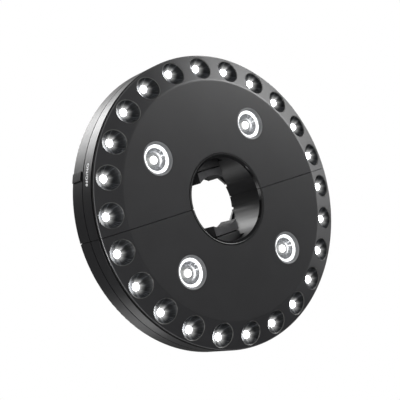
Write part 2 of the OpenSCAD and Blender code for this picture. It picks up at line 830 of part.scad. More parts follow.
// Upper half of a sphere whose top lies at a depth
module dome(r, top_d) {
    intersection() {
        translate([0, 0, top_d + r]) sphere(r);
        translate([0, 0, top_d - over]) cylinder(r = 2 * r, h = r + over);
    }
}

module switch_ring_lights() {
    color("white") seated() ring_lights();
}

module swing_ring_lights() {
    color("white") seated() swung() ring_lights();
}

module lamp_bezels() {
    at_lamps() rotate_extrude() polygon([[bezel_r, seat_gap / 2], [bezel_r, bezel_flange_t],
        [lens_r, bezel_flange_t], [lens_r, bezel_t], [bezel_open_r, bezel_t],
        [bezel_open_r + bezel_slope, seat_gap / 2]]);
}

module switch_lamp_bezels() {
    color("#8c8c8e") seated() lamp_bezels();
}

module swing_lamp_bezels() {
    color("#8c8c8e") seated() swung() lamp_bezels();
}

module lamp_lenses() {
    at_lamps() translate([0, 0, lens_d]) cylinder(r = lens_r, h = lens_t);
}

module switch_lamp_lenses() {
    color("white", 0.5) seated() lamp_lenses();
}

module swing_lamp_lenses() {
    color("white", 0.5) seated() swung() lamp_lenses();
}

// Cup-shaped reflector with a flat rim under the lens and feet on the board
module lamp_reflectors() {
    throat_d = reflector_d + reflector_len;
    at_lamps() rotate_extrude() polygon([[reflector_mouth_r, reflector_d], [lens_r, reflector_d],
        [lens_r, board_d], [lens_r - wall / 2, board_d], [lens_r - wall / 2, reflector_d + wall / 2],
        [reflector_mouth_r + wall / 2, reflector_d + wall / 2], [reflector_throat_r + wall / 2, throat_d],
        [reflector_throat_r, throat_d]]);
}

module switch_lamp_reflectors() {
    color("#d8d8d8") seated() lamp_reflectors();
}

module swing_lamp_reflectors() {
    color("#d8d8d8") seated() swung() lamp_reflectors();
}

// Large domed light on a square base, inside the reflector
module lamp_chips() {
    at_lamps() {
        translate([-chip_w / 2, -chip_w / 2, board_d - chip_t]) cube([chip_w, chip_w, chip_t]);
        translate([0, 0, chip_mid_d]) cylinder(r = chip_dome_r, h = board_d - chip_t / 2 - chip_mid_d);
        dome(chip_dome_r, chip_mid_d - chip_dome_r);
    }
}

module switch_lamp_chips() {
    color("white") seated() lamp_chips();
}

module swing_lamp_chips() {
    color("white") seated() swung() lamp_chips();
}

// Cells lie head to tail; each nub points at a flat contact
cell_nub_r = 2.75;
cell_nub_len = 1.2;
module cells() {
    for (i = [0, 1]) {
        way = 1 - 2 * i;
        translate([way * (plate_x - cell_len), cell_y + i * cell_pitch, cell_d])
            rotate([0, way * 90, 0]) {
                cylinder(d = cell_dia, h = cell_len - cell_nub_len);
                cylinder(r = cell_nub_r, h = cell_len);
            }
    }
}

module switch_cells() {
    color("#c9a24a") seated() cells();
}

module swing_cells() {
    color("#c9a24a") seated() swung() cells();
}

// Plates at both ends of the bay with tails down to the board, and one plate that bridges both cells
contact_w = 9;
contact_h = 10;
contact_tail_w = 1.5;
module battery_contacts() {
    low_d = cell_d - contact_h / 2;
    for (y = [cell_y, cell_y + cell_pitch]) {
        block([plate_x, y - contact_w / 2, low_d], [plate_x + contact_t, y + contact_w / 2, low_d + contact_h]);
        block([plate_x, y - contact_tail_w / 2, board_back_d], [plate_x + contact_t, y + contact_tail_w / 2, low_d + over]);
    }
    block([-plate_x - contact_t, cell_y - contact_w / 2, low_d],
        [-plate_x, cell_y + cell_pitch + contact_w / 2, low_d + contact_h]);
}

module switch_battery_contacts() {
    color(steel) seated() battery_contacts();
}

module swing_battery_contacts() {
    color(steel) seated() swung() battery_contacts();
}

// A wire swept along a list of points with a ring of faces at each
function ring_at(p, u, v, r, sides) =
    [for (k = [0 : sides - 1]) p + r * (cos(360 * k / sides) * u + sin(360 * k / sides) * v)];
function unit(v) = v / norm(v);
function frame_u(t) = unit(cross(t, abs(t.z) < 0.9 ? [0, 0, 1] : [0, 1, 0]));

module swept_wire(points, r, sides) {
    last = len(points) - 1;
    ways = [for (i = [0 : last]) unit(points[min(i + 1, last)] - points[max(i - 1, 0)])];
    rings = [for (i = [0 : last]) let (u = frame_u(ways[i])) each ring_at(points[i], u, cross(ways[i], u), r, sides)];
    walls = [for (i = [0 : last - 1], k = [0 : sides - 1]) let (n = (k + 1) % sides)
        each [[i * sides + k, (i + 1) * sides + n, i * sides + n], [i * sides + k, (i + 1) * sides + k, (i + 1) * sides + n]]];
    start = [for (k = [1 : sides - 2]) [0, k, k + 1]];
    end = [for (k = [1 : sides - 2]) [last * sides, last * sides + k + 1, last * sides + k]];
    polyhedron(rings, concat(walls, start, end));
}

// A coil along X from 0 to length, with its radius going from r0 to r1
steps_per_turn = 8;
coil_sides = 6;
function coil_points(length, r0, r1, turns, wire) = [
    for (i = [0 : turns * steps_per_turn])
        let (s = i / (turns * steps_per_turn), a = 360 * turns * s, r = r0 + (r1 - r0) * s)
        [wire + (length - 2 * wire) * s, r * cos(a), r * sin(a)]];

// Least distance between the wire's surfaces in neighbouring turns
function coil_gap(points, wire) =
    min([for (i = [0 : len(points) - 1 - steps_per_turn]) norm(points[i + steps_per_turn] - points[i])]) - wire;

// Conical contact springs between the plates and the flat ends of the cells
contact_coil_turns = 4;
contact_wire = 0.5;
contact_coil_r0 = 3.6;
contact_coil_r1 = 2;
module contact_springs() {
    points = coil_points(contact_coil_len, contact_coil_r0, contact_coil_r1, contact_coil_turns, contact_wire / 2);
    echo(contact_coil_gap = coil_gap(points, contact_wire));
    for (i = [0, 1]) {
        way = 1 - 2 * i;
        translate([-way * plate_x, cell_y + i * cell_pitch, cell_d]) rotate([0, 0, i * half_turn])
            swept_wire(points, contact_wire / 2, coil_sides);
    }
}

module switch_contact_springs() {
    color(steel) seated() contact_springs();
}

module swing_contact_springs() {
    color(steel) seated() swung() contact_springs();
}

// Screws in their deep wells, with a cross slot
module cover_screws() {
    at_screws() translate([0, 0, parting_d + well_floor]) difference() {
        union() {
            cylinder(r = screw_head_r, h = screw_head_t);
            translate([0, 0, -well_floor - screw_len + slide_gap]) cylinder(r = screw_r, h = well_floor + screw_len);
        }
        for (turn = [0, 90]) rotate([0, 0, turn]) translate([0, 0, screw_head_t])
            cube([screw_head_r, screw_head_r / 4, screw_head_t], center = true);
    }
}

module switch_cover_screws() {
    color(steel) seated() cover_screws();
}

module swing_cover_screws() {
    color(steel) seated() swung() cover_screws();
}

// Battery door: flat plate with a barrel and pins along its inner edge and finger ribs at its outer edge
door_rib_pitch = 2.2;
door_rib_count = 4;
door_rib_depth = 0.5;
module battery_door() {
    difference() {
        union() {
            block([-door_x, door_axis_y, body_t - door_t], [door_x, door_y1, body_t]);
            translate([-door_x, door_axis_y, door_axis_d]) rotate([0, 90, 0])
                cylinder(r = door_knuckle_r, h = 2 * door_x);
            translate([-door_x - door_pin_len, door_axis_y, door_axis_d]) rotate([0, 90, 0])
                cylinder(r = door_pin_r, h = 2 * (door_x + door_pin_len));
        }
        for (i = [1 : door_rib_count]) {
            y = door_y1 - i * door_rib_pitch;
            block([-door_x / 3, y, body_t - door_rib_depth], [door_x / 3, y + door_rib_pitch / 2, body_t + over]);
        }
    }
}

module switch_battery_door() {
    color(charcoal) seated() battery_door();
}

module swing_battery_door() {
    color(charcoal) seated() swung() battery_door();
}

// Fold-out hook: an eye with a gap at one side, on a stem with a barrel and two pins
module hook() {
    translate([hook_x, hook_y, hook_axis_d]) {
        translate([0, 0, -hook_t / 2]) linear_extrude(hook_t) difference() {
            union() {
                translate([0, hook_stem]) circle(hook_r);
                block_2d([-hook_stem_w / 2, 0], [hook_stem_w / 2, hook_stem - hook_eye_r]);
            }
            translate([0, hook_stem]) circle(hook_eye_r);
            block_2d([0, hook_stem - hook_gap_w / 2], [2 * hook_r, hook_stem + hook_gap_w / 2]);
        }
        rotate([0, 90, 0]) {
            cylinder(r = hook_barrel_r, h = hook_barrel_w, center = true);
            cylinder(r = hook_pin_r, h = hook_barrel_w + 2 * hook_pin_len, center = true);
        }
    }
}

module switch_hook() {
    color(charcoal) seated() hook();
}

// The other hook stands diagonally across the pole, so that the light hangs level
module swing_hook() {
    color(charcoal) seated() swung() hook_side(-1) hook();
}

// Jaw: hollow slide that carries the pad, with a wide guide plate at its back
module jaw() {
    plate_x = plate_w / 2;
    difference() {
        union() {
            block([-jaw_w / 2, jaw_face_y, pad_front_d], [jaw_w / 2, jaw_end_y, plate_front_d]);
            block([-pad_key_w / 2, jaw_face_y - pad_key_in, origin_d - pad_key_len / 2],
                [pad_key_w / 2, jaw_face_y + over, origin_d + pad_key_len / 2]);
            translate([0, 0, plate_front_d]) linear_extrude(plate_t) polygon([
                [-plate_x, plate_reach], [-plate_notch_w / 2, plate_reach],
                [-plate_notch_w / 2 + plate_chamfer, plate_notch_y], [plate_notch_w / 2 - plate_chamfer, plate_notch_y],
                [plate_notch_w / 2, plate_reach], [plate_x, plate_reach], [plate_x, plate_end_y], [-plate_x, plate_end_y]]);
        }
        block([-jaw_w / 2 + jaw_wall, jaw_face_y + jaw_wall, pad_front_d + jaw_wall],
            [jaw_w / 2 - jaw_wall, jaw_end_y + over, plate_front_d - jaw_wall]);
    }
    translate([0, spring_start_y - over, origin_d]) rotate([-90, 0, 0]) cylinder(r = peg_r, h = peg_len + over);
}

module switch_jaw() {
    color(charcoal) seated() jaw();
}

module swing_jaw() {
    color(charcoal) seated() swung() jaw();
}

// Rubber pad: a curved seat for the pole between two flat shoulders, pushed on to the jaw's key
module jaw_pad() {
    difference() {
        block([-jaw_w / 2, pad_edge_y, pad_front_d], [jaw_w / 2, pad_back, pad_rear_d]);
        translate([0, 0, pad_front_d - over]) cylinder(r = pad_arc_r, h = pad_rear_d - pad_front_d + 2 * over);
        block([-pad_key_w / 2, jaw_face_y - pad_key_in, origin_d - pad_key_len / 2],
            [pad_key_w / 2, pad_back + over, origin_d + pad_key_len / 2]);
    }
}

module switch_jaw_pad() {
    color(rubber_grey) seated() jaw_pad();
}

module swing_jaw_pad() {
    color(rubber_grey) seated() swung() jaw_pad();
}

// Compression spring between the jaw and the battery bay's wall
module jaw_spring() {
    points = coil_points(spring_seat_y - spring_start_y, (spring_od - spring_wire) / 2,
        (spring_od - spring_wire) / 2, spring_turns, spring_wire / 2);
    echo(jaw_spring_gap = coil_gap(points, spring_wire));
    translate([0, spring_start_y, origin_d]) rotate([0, 0, 90]) swept_wire(points, spring_wire / 2, coil_sides);
}

module switch_jaw_spring() {
    color(steel) seated() jaw_spring();
}

module swing_jaw_spring() {
    color(steel) seated() swung() jaw_spring();
}

// Power button: cap through the band, flange that holds it in, and the stem on the switch's plunger
module power_button() {
    color(charcoal) seated() button_frame() {
        intersection() {
            block([button_flange_x, -button_w / 2, button_mid_d - button_len / 2],
                [body_r + 2 * button_proud, button_w / 2, button_mid_d + button_len / 2]);
            cylinder(r = body_r + button_proud, h = body_t);
        }
        block([button_flange_x, -button_w / 2 - button_flange_out, button_flange_d0],
            [button_flange_x + button_flange_t, button_w / 2 + button_flange_out,
                button_mid_d + button_len / 2 - slide_gap]);
        translate([switch_x + switch_t - over, 0, button_mid_d]) rotate([0, 90, 0])
            cylinder(r = plunger_r, h = button_flange_x - switch_x - switch_t + over * 3 / 2);
    }
}

module button_switch() {
    color("#202020") seated() button_frame() difference() {
        block([switch_x, -switch_w / 2, button_mid_d - switch_w / 2],
            [switch_x + switch_t, switch_w / 2, button_mid_d + switch_w / 2]);
        translate([switch_x + switch_t - over - button_travel - slide_gap, 0, button_mid_d]) rotate([0, 90, 0])
            cylinder(r = plunger_r + pin_gap, h = 4 * over);
    }
}

module button_board() {
    color(board_green) seated() button_frame() block(
        [switch_board_x, -switch_board_w / 2 - slot_post / 2, switch_board_d0],
        [switch_x, switch_board_w / 2 + slot_post / 2, back_d - seat_gap]);
}

module hinge_pin() {
    color(steel) seated() translate([-hinge_x, 0, 0]) {
        translate([0, 0, knuckle_d0]) cylinder(r = hinge_pin_r, h = knuckle_d1 - knuckle_d0);
        translate([0, 0, knuckle_d1]) cylinder(r = pin_head_r, h = pin_head_t);
    }
}

// Latch slide: thumb plate with grip grooves and a stem that enters the tongue's notch
latch_groove_count = 3;
latch_groove_w = 0.8;
module latch_slide() {
    color(rubber_grey) seated() translate([latch_x, latch_y, 0]) {
        difference() {
            block([-latch_len / 2, -latch_w / 2, body_t - latch_t], [latch_len / 2, latch_w / 2, body_t]);
            for (i = [1 : latch_groove_count]) {
                x = -latch_len / 2 + i * latch_len / (latch_groove_count + 1);
                block([x - latch_groove_w / 2, -latch_w / 3, body_t - latch_groove_w],
                    [x + latch_groove_w / 2, latch_w / 3, body_t + over]);
            }
        }
        block([-latch_stem_len / 2, -latch_stem_w / 2, tongue_d0],
            [latch_stem_len / 2, latch_stem_w / 2, body_t - latch_t + over / 2]);
        // foot below the track that keeps the slide in
        block([-latch_stem_len / 2, -latch_foot_w / 2, latch_foot_d - latch_foot_t],
            [latch_stem_len / 2, latch_foot_w / 2, latch_foot_d]);
    }
}

module link_lead() {
    color("black") seated() translate([-lead_x, 0, lead_d]) swept_wire(lead_route, lead_r, lead_sides);
}

// Lead from the button's board to the light board
module switch_lead() {
    color("black") seated() button_frame() translate([switch_board_x, 0, board_back_d])
        swept_wire(switch_lead_route, switch_lead_r, lead_sides);
}

switch_front_cover();
switch_rear_cover();
switch_led_board();
switch_ring_lights();
switch_lamp_bezels();
switch_lamp_lenses();
switch_lamp_reflectors();
switch_lamp_chips();
switch_battery_contacts();
switch_contact_springs();
switch_cells();
switch_cover_screws();
switch_battery_door();
switch_hook();
switch_jaw();
switch_jaw_pad();
switch_jaw_spring();
power_button();
button_switch();
button_board();
switch_lead();
hinge_pin();
latch_slide();
link_lead();
swing_front_cover();
swing_rear_cover();
swing_led_board();
swing_ring_lights();
swing_lamp_bezels();
swing_lamp_lenses();
swing_lamp_reflectors();
swing_lamp_chips();
swing_battery_contacts();
swing_contact_springs();
swing_cells();
swing_cover_screws();
swing_battery_door();
swing_hook();
swing_jaw();
swing_jaw_pad();
swing_jaw_spring();
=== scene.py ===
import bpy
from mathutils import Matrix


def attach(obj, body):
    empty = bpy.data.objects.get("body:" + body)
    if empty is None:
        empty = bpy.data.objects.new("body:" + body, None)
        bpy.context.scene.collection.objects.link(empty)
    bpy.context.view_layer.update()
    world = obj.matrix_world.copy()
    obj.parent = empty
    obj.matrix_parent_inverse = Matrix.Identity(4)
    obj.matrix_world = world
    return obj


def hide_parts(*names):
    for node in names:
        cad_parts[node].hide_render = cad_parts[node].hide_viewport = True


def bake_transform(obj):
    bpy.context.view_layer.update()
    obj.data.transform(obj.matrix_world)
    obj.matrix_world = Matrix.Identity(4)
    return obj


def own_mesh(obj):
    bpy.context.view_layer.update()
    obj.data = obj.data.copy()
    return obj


bl_info = {
    "name": "Patio umbrella light",
    "version": (1, 0, 0),
    "blender": (4, 5, 0),
    "location": "3D View > Sidebar > Pole light",
    "description": "Dresses the packed frame of a round pole light with its finished pieces and materials",
    "category": "Object",
}

from math import atan2, cos, hypot, pi, radians, sin, sqrt, tan, tau

import bpy
from mathutils import Matrix, Vector

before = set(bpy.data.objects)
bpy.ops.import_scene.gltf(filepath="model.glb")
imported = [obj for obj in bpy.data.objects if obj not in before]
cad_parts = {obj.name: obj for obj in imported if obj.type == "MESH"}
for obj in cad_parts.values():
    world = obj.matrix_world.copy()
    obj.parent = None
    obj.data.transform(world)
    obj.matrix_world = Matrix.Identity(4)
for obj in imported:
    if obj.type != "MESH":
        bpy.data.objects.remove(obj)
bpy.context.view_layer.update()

MM = 0.001
DOUBLES = 2e-6  # vertices closer than this are one, metres
PAD_MIDDLE = 18.9  # depth of the frame's origin behind the lamp face, mm
HALVES = ("switch", "swing")
SEAM = 0.2  # each half stops this far from the seam plane, mm

# Sizes of the housing, as the CAD has them, in mm; depths run from the lamp face to the back
HOLE_R, FACE_R, BODY_R, INNER_R = 31.3, 81.7, 100.0, 98.0
BEAD_R, BEAD_X, BEAD_D = 1.0, 99.0, 5.955
PARTING_D, WALL, BOARD_D = 18.25, 2.0, 10.4
RING_R, BOWL_R, BOWL_MID_D, CUP_R = 91.15, 8.5, -0.2, 9.9
RING_COUNT, RING_PITCH = 12, 15.0
RIM_DROP, RIM_RUN = 5.2, 18.3  # the sloped rim falls this much over this width
CONE = atan2(RIM_DROP, RIM_RUN)
RIM_FOOT, RIM_R = (90.39, 2.469), 8.034 + 0.3  # middle of a bowl's mouth on the sloped rim, and its blunted edge
LAMP_R, LAMP_ANGLES = 59.0, (40.0, 130.5)
SCREWS = ((37.95, 23.99), (37.0, 67.96), (-37.95, 23.99), (-37.0, 67.96))
BUTTON_ANGLE = radians(23.9)
BUTTON_WAY = (cos(BUTTON_ANGLE), sin(BUTTON_ANGLE))
LIP_CREST, LIP_ROUND = (30.2, 30.95), 0.32  # inner and outer edge of the crest round the bore, and their rounding
NEAR = 0.02  # a point this close to a surface lies on it, mm
LED_ANGLES = [(i + 0.5) * RING_PITCH for i in range(RING_COUNT)]


def z_of(depth):
    """Height in metres of a depth behind the lamp face."""
    return (depth - PAD_MIDDLE) * MM


def spot(radius, degrees, depth=0.0):
    """A place given by its radius and angle round the pole axis."""
    a = radians(degrees)
    return (radius * cos(a) * MM, radius * sin(a) * MM, z_of(depth))


def across(radius, degrees):
    """The same place seen along the pole axis, as x and y in mm."""
    return [v / MM for v in spot(radius, degrees)[:2]]


# Modelling by hand


def rest_hands():
    """Leaves edit mode and deselects everything, so the next operator acts on its own piece."""
    if bpy.context.object and bpy.context.object.mode != "OBJECT":
        bpy.ops.object.mode_set(mode="OBJECT")
    bpy.ops.object.select_all(action="DESELECT")


def pick(*objs):
    """Selects these pieces alone, with the last one active."""
    rest_hands()
    for o in objs:
        o.select_set(True)
    bpy.context.view_layer.objects.active = objs[-1]


def opened(obj):
    """Enters edit mode on one piece, with its whole mesh selected."""
    pick(obj)
    bpy.ops.object.mode_set(mode="EDIT")
    bpy.ops.mesh.select_all(action="SELECT")
    return obj


def closed_up(obj):
    """Points all faces outwards and leaves edit mode."""
    bpy.ops.mesh.select_all(action="SELECT")
    bpy.ops.mesh.normals_make_consistent(inside=False)
    bpy.ops.object.mode_set(mode="OBJECT")
    return obj


def settle(obj):
    """Puts an object's place, turn and size into its mesh."""
    pick(obj)
    bpy.ops.object.transform_apply(location=True, rotation=True, scale=True)
    return obj


def added(name):
    """Names the primitive that was just added and settles it."""
    obj = bpy.context.object
    obj.name = obj.data.name = name
    return settle(obj)


def drawn(name, points, closed=True):
    """A line drawn by extruding one vertex from point to point, in metres."""
    rest_hands()
    bpy.ops.mesh.primitive_plane_add(size=MM, location=points[0])
    obj = opened(added(name))
    bpy.ops.mesh.merge(type="CENTER")
    last = points[0]
    for p in list(points[1:]) + ([points[0]] if closed else []):
        bpy.ops.mesh.extrude_region_move(TRANSFORM_OT_translate={"value": [p[i] - last[i] for i in range(3)]})
        last = p
    bpy.ops.mesh.select_all(action="SELECT")
    bpy.ops.mesh.remove_doubles(threshold=1e-7)
    rest_hands()
    return obj


def turned(name, outline, steps, centre=(0.0, 0.0), closed=True):
    """A solid of revolution from an outline of (radius, depth) in mm, round an upright axis at centre in mm."""
    cx, cy = centre[0] * MM, centre[1] * MM
    obj = drawn(name, [(cx + r * MM, cy, z_of(d)) for r, d in outline], closed)
    opened(obj)
    bpy.ops.mesh.spin(steps=steps, angle=tau, center=(cx, cy, 0), axis=(0, 0, 1))
    bpy.ops.mesh.select_all(action="SELECT")
    bpy.ops.mesh.remove_doubles(threshold=DOUBLES)
    return closed_up(obj)


def raised(obj, way):
    """Fills a drawn line and pulls it out into a solid along way, in metres."""
    opened(obj)
    bpy.ops.mesh.edge_face_add()
    bpy.ops.mesh.extrude_region_move(TRANSFORM_OT_translate={"value": way})
    return closed_up(obj)


def box(name, low, high):
    """A box between two corners given in mm as x, y, depth."""
    rest_hands()
    middle = [(low[i] + high[i]) / 2 * MM for i in range(3)]
    middle[2] -= PAD_MIDDLE * MM
    bpy.ops.mesh.primitive_cube_add(size=1, location=middle, scale=[(high[i] - low[i]) * MM for i in range(3)])
    return added(name)


def rod(name, x, y, low, high, radius, sides):
    """An upright round bar, in mm and depths."""
    rest_hands()
    bpy.ops.mesh.primitive_cylinder_add(vertices=sides, radius=radius * MM, depth=(high - low) * MM,
                                        location=(x * MM, y * MM, z_of((low + high) / 2)))
    return added(name)


def joined(name, objs):
    """Joins pieces into one mesh under a new name."""
    pick(*objs)
    bpy.ops.object.join()
    obj = bpy.context.object
    obj.name = obj.data.name = name
    return obj


def copied(obj, name):
    """A copy with its own mesh."""
    pick(obj)
    bpy.ops.object.duplicate()
    twin = bpy.context.object
    twin.name = twin.data.name = name
    return twin


def set_round(obj, angle, name):
    """A copy of a piece, carried round the pole axis by angle in degrees."""
    twin = copied(obj, name)
    twin.rotation_euler = (0, 0, radians(angle))
    return settle(twin)


def mirrored(obj, name):
    """A copy of a piece on the other side of the seam."""
    twin = copied(obj, name)
    twin.scale = (1, -1, 1)
    return closed_up(opened(settle(twin)))


def worked(obj, kind, **settings):
    """Adds one modifier with its settings and applies it."""
    pick(obj)
    bpy.ops.object.modifier_add(type=kind)
    mod = obj.modifiers[-1]
    for key, value in settings.items():
        setattr(mod, key, value)
    bpy.ops.object.modifier_apply(modifier=mod.name)
    return obj


def carved(obj, tool, operation="DIFFERENCE", own=False):
    """Cuts or joins a tool into a piece, and takes the tool away."""
    worked(obj, "BOOLEAN", object=tool, operation=operation, solver="EXACT", use_self=own)
    bpy.data.objects.remove(tool)
    return obj


def smoothed(obj, degrees=30, bevel=0.0, even=True):
    """Rounds the edges of a piece by bevel in mm, and shades its curves smooth."""
    if bevel:
        worked(obj, "BEVEL", width=bevel * MM, segments=2, limit_method="ANGLE", angle_limit=radians(30),
               use_clamp_overlap=True, miter_outer="MITER_ARC")
    pick(obj)
    bpy.ops.object.shade_smooth_by_angle(angle=radians(degrees))
    if even:
        worked(obj, "WEIGHTED_NORMAL", keep_sharp=True, weight=50)
    return obj


def skin_of(node_name, name):
    """A merged copy of a CAD node, with the flat faces made whole, as the start of a finished piece."""
    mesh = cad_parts[node_name].data.copy()
    obj = bpy.data.objects.new(name, mesh)
    bpy.context.scene.collection.objects.link(obj)
    mesh.name = name
    mesh.materials.clear()
    opened(obj)
    bpy.ops.mesh.remove_doubles(threshold=DOUBLES)
    bpy.ops.mesh.dissolve_limited(angle_limit=radians(0.4), delimit=set())
    rest_hands()
    return obj


def strung(name, kind, points, radius, roundness, start=(0, 0, 0)):
    """A round wire of a radius in mm through points in metres, straight between them or smoothed."""
    curve = bpy.data.curves.new(name, "CURVE")
    curve.dimensions = "3D"
    curve.bevel_depth = radius * MM
    curve.bevel_resolution = roundness
    curve.use_fill_caps = True
    line = curve.splines.new(kind)
    line.points.add(len(points) - 1)
    for point, place in zip(line.points, points):
        point.co = (*place, 1)
    if kind == "NURBS":
        line.use_endpoint_u = True
        line.order_u = 4
        line.resolution_u = 6
    obj = bpy.data.objects.new(name, curve)
    bpy.context.scene.collection.objects.link(obj)
    obj.location = start
    pick(obj)
    bpy.ops.object.convert(target="MESH")
    return smoothed(added(name), 60, even=False)


def coil(name, start, axis, side, length, r0, r1, turns, wire, steps=28):
    """A round wire wound into a spring along axis, in mm, its radius going from r0 to r1."""
    axis, side = Vector(axis), Vector(side)
    other = axis.cross(side)
    count = int(turns * steps)
    points = []
    for i in range(count + 1):
        s = i / count
        a = tau * turns * s
        r = r0 + (r1 - r0) * s
        p = axis * (wire / 2 + (length - wire) * s) + (side * cos(a) + other * sin(a)) * (r - wire / 2)
        points.append([c * MM for c in p])
    return strung(name, "POLY", points, wire / 2, 2, start)


def lead(name, route, radius):
    """A soft lead along a route of points in mm, smoothed by its curve."""
    return strung(name, "NURBS", [(x * MM, y * MM, z_of(d)) for x, y, d in route], radius, 3)


# Materials


def linear(code):
    """The linear colour of an sRGB hex value."""
    out = []
    for i in (1, 3, 5):
        c = int(code[i:i + 2], 16) / 255
        out.append(c / 12.92 if c <= 0.04045 else ((c + 0.055) / 1.055) ** 2.4)
    return (*out, 1.0)


def plugged(made, **links):
    """Sets the inputs of a node, by name or as i0, i1 by number, to values or to (node, output)."""
    for key, value in links.items():
        numbered = key[0] == "i" and key[1:].isdigit()
        socket = made.inputs[int(key[1:]) if numbered else key.replace("_", " ")]
        if isinstance(value, tuple) and len(value) == 2 and hasattr(value[0], "outputs"):
            made.id_data.links.new(value[0].outputs[value[1]], socket)
        else:
            socket.default_value = value
    return made


def node(tree, kind, settings=None, **links):
    """Adds a node, with its settings by name and its inputs plugged."""
    made = tree.nodes.new(kind)
    for key, value in (settings or {}).items():
        setattr(made, key, value)
    return plugged(made, **links)


def finish_named(name):
    """An empty node material with its output and shader."""
    mat = bpy.data.materials.new(name)
    mat.use_nodes = True
    tree = mat.node_tree
    tree.nodes.clear()
    shader = node(tree, "ShaderNodeBsdfPrincipled")
    node(tree, "ShaderNodeOutputMaterial", Surface=(shader, "BSDF"))
    return mat, tree, shader


def ramp(tree, fac, stops):
    """Colours over a value, as (place, linear colour) stops."""
    made = node(tree, "ShaderNodeValToRGB", Fac=fac)
    ends = made.color_ramp.elements
    ends[0].position, ends[0].color = stops[0]
    ends[1].position, ends[1].color = stops[-1]
    for place, colour in stops[1:-1]:
        ends.new(place).color = colour
    return made


def grained(name, dark, light, rough, grain_mm, bump, cloud_mm=25.0, metallic=0.0):
    """Moulded or plated stock: soft clouds of two hex colours, or tones of the covers' own, and a fine grain."""
    shell = bpy.context.scene.pole_light.shell_colour[:3]
    dark, light = [linear(c) if isinstance(c, str) else (*(c * v for v in shell), 1.0) for c in (dark, light)]
    mat, tree, shader = finish_named(name)
    place = node(tree, "ShaderNodeTexCoord")
    clouds = node(tree, "ShaderNodeTexNoise", Vector=(place, "Object"), Scale=1 / (cloud_mm * MM), Detail=3.0)
    tint = ramp(tree, (clouds, "Fac"), [(0.35, dark), (0.65, light)])
    grain = node(tree, "ShaderNodeTexNoise", Vector=(place, "Object"), Scale=1 / (grain_mm * MM), Detail=2.0)
    rub = node(tree, "ShaderNodeMapRange", Value=(grain, "Fac"), To_Min=rough - 0.05, To_Max=rough + 0.05)
    lift = node(tree, "ShaderNodeBump", Height=(grain, "Fac"), Strength=bump, Distance=0.02 * MM)
    plugged(shader, Base_Color=(tint, "Color"), Roughness=(rub, "Result"), Normal=(lift, "Normal"), Metallic=metallic)
    return mat


def lit(name, colour, core, power, rough=0.25):
    """Something that gives light, or whose light is painted in: a pale resin with an even glow."""
    mat, tree, shader = finish_named(name)
    place = node(tree, "ShaderNodeTexCoord")
    haze = node(tree, "ShaderNodeTexNoise", Vector=(place, "Object"), Scale=1 / (2.5 * MM), Detail=1.0)
    tint = ramp(tree, (haze, "Fac"), [(0.3, linear(colour)), (0.7, linear(core))])
    plugged(shader, Base_Color=(tint, "Color"), Roughness=rough)
    plugged(shader, Emission_Color=(tint, "Color"), Emission_Strength=power)
    return mat


FINISHES = {}


def bowl_gloss():
    """ABS of the bowls, burnished in the tool: the marks run out from each light, and the light's reflection along them
    is painted in as a glow.
    """
    mat, tree, shader = finish_named("burnished_abs_bowls_painted_glow")
    spread = node(tree, "ShaderNodeAttribute", {"attribute_name": "bowl_way"})
    rays = node(tree, "ShaderNodeTexNoise", Vector=(spread, "Vector"), Scale=6.0, Detail=3.0, Roughness=0.6)
    rub = node(tree, "ShaderNodeMapRange", Value=(rays, "Fac"), From_Min=0.3, From_Max=0.7, To_Min=0.5, To_Max=0.36)
    lift = node(tree, "ShaderNodeBump", Height=(rays, "Fac"), Strength=0.3, Distance=0.05 * MM)
    tint = ramp(tree, (rays, "Fac"), [(0.34, linear("#0d0e0f")), (0.54, linear("#1b1c1d")), (0.66, linear("#46474a"))])
    # Painted reflection: a glow near each light, along the rays and where the bowl faces the eye
    reach = node(tree, "ShaderNodeSeparateXYZ", Vector=(spread, "Vector"))
    near = node(tree, "ShaderNodeMapRange", Value=(reach, "Z"), From_Min=0.042, From_Max=0.112, To_Min=1.0, To_Max=0.0)
    painted_reflection_falloff = node(tree, "ShaderNodeMath", {"operation": "POWER"}, i0=(near, "Result"), i1=2.2)
    painted_reflection_streak = node(tree, "ShaderNodeMapRange", Value=(rays, "Fac"), From_Min=0.4, From_Max=0.66, To_Min=0.35, To_Max=1.6)
    turned_away = node(tree, "ShaderNodeLayerWeight", Blend=0.5)
    mirrored_to_eye = node(tree, "ShaderNodeMapRange", Value=(turned_away, "Facing"), From_Min=0.15, From_Max=0.65,
                           To_Min=1.0, To_Max=0.0)
    level = node(tree, "ShaderNodeMath", {"operation": "MULTIPLY"}, i0=(painted_reflection_falloff, "Value"), i1=(painted_reflection_streak, "Result"))
    glow = node(tree, "ShaderNodeMath", {"operation": "MULTIPLY"}, i0=(level, "Value"), i1=(mirrored_to_eye, "Result"))
    plugged(shader, Base_Color=(tint, "Color"), Roughness=(rub, "Result"), Normal=(lift, "Normal"),
            Specular_IOR_Level=0.12, Emission_Color=linear("#e6e6e4"), Emission_Strength=(glow, "Value"))
    return mat


def hot_cap():
    """Silicone dome over the phosphor: it glows white at its tip and greys towards its foot."""
    mat, tree, shader = finish_named("silicone_over_phosphor")
    place = node(tree, "ShaderNodeTexCoord")
    parts = node(tree, "ShaderNodeSeparateXYZ", Vector=(place, "Object"))
    depth = node(tree, "ShaderNodeMapRange", Value=(parts, "Z"), From_Min=z_of(4.4), From_Max=z_of(6.2))
    glow = ramp(tree, (depth, "Result"), [(0.0, linear("#ffffff")), (0.5, linear("#8c8c8a")), (1.0, linear("#3c3c3b"))])
    plugged(shader, Base_Color=linear("#d8d8d4"), Roughness=0.2, Emission_Color=(glow, "Color"), Emission_Strength=4.0)
    return mat


TRACK_MM = 7  # spacing of the board's tracks


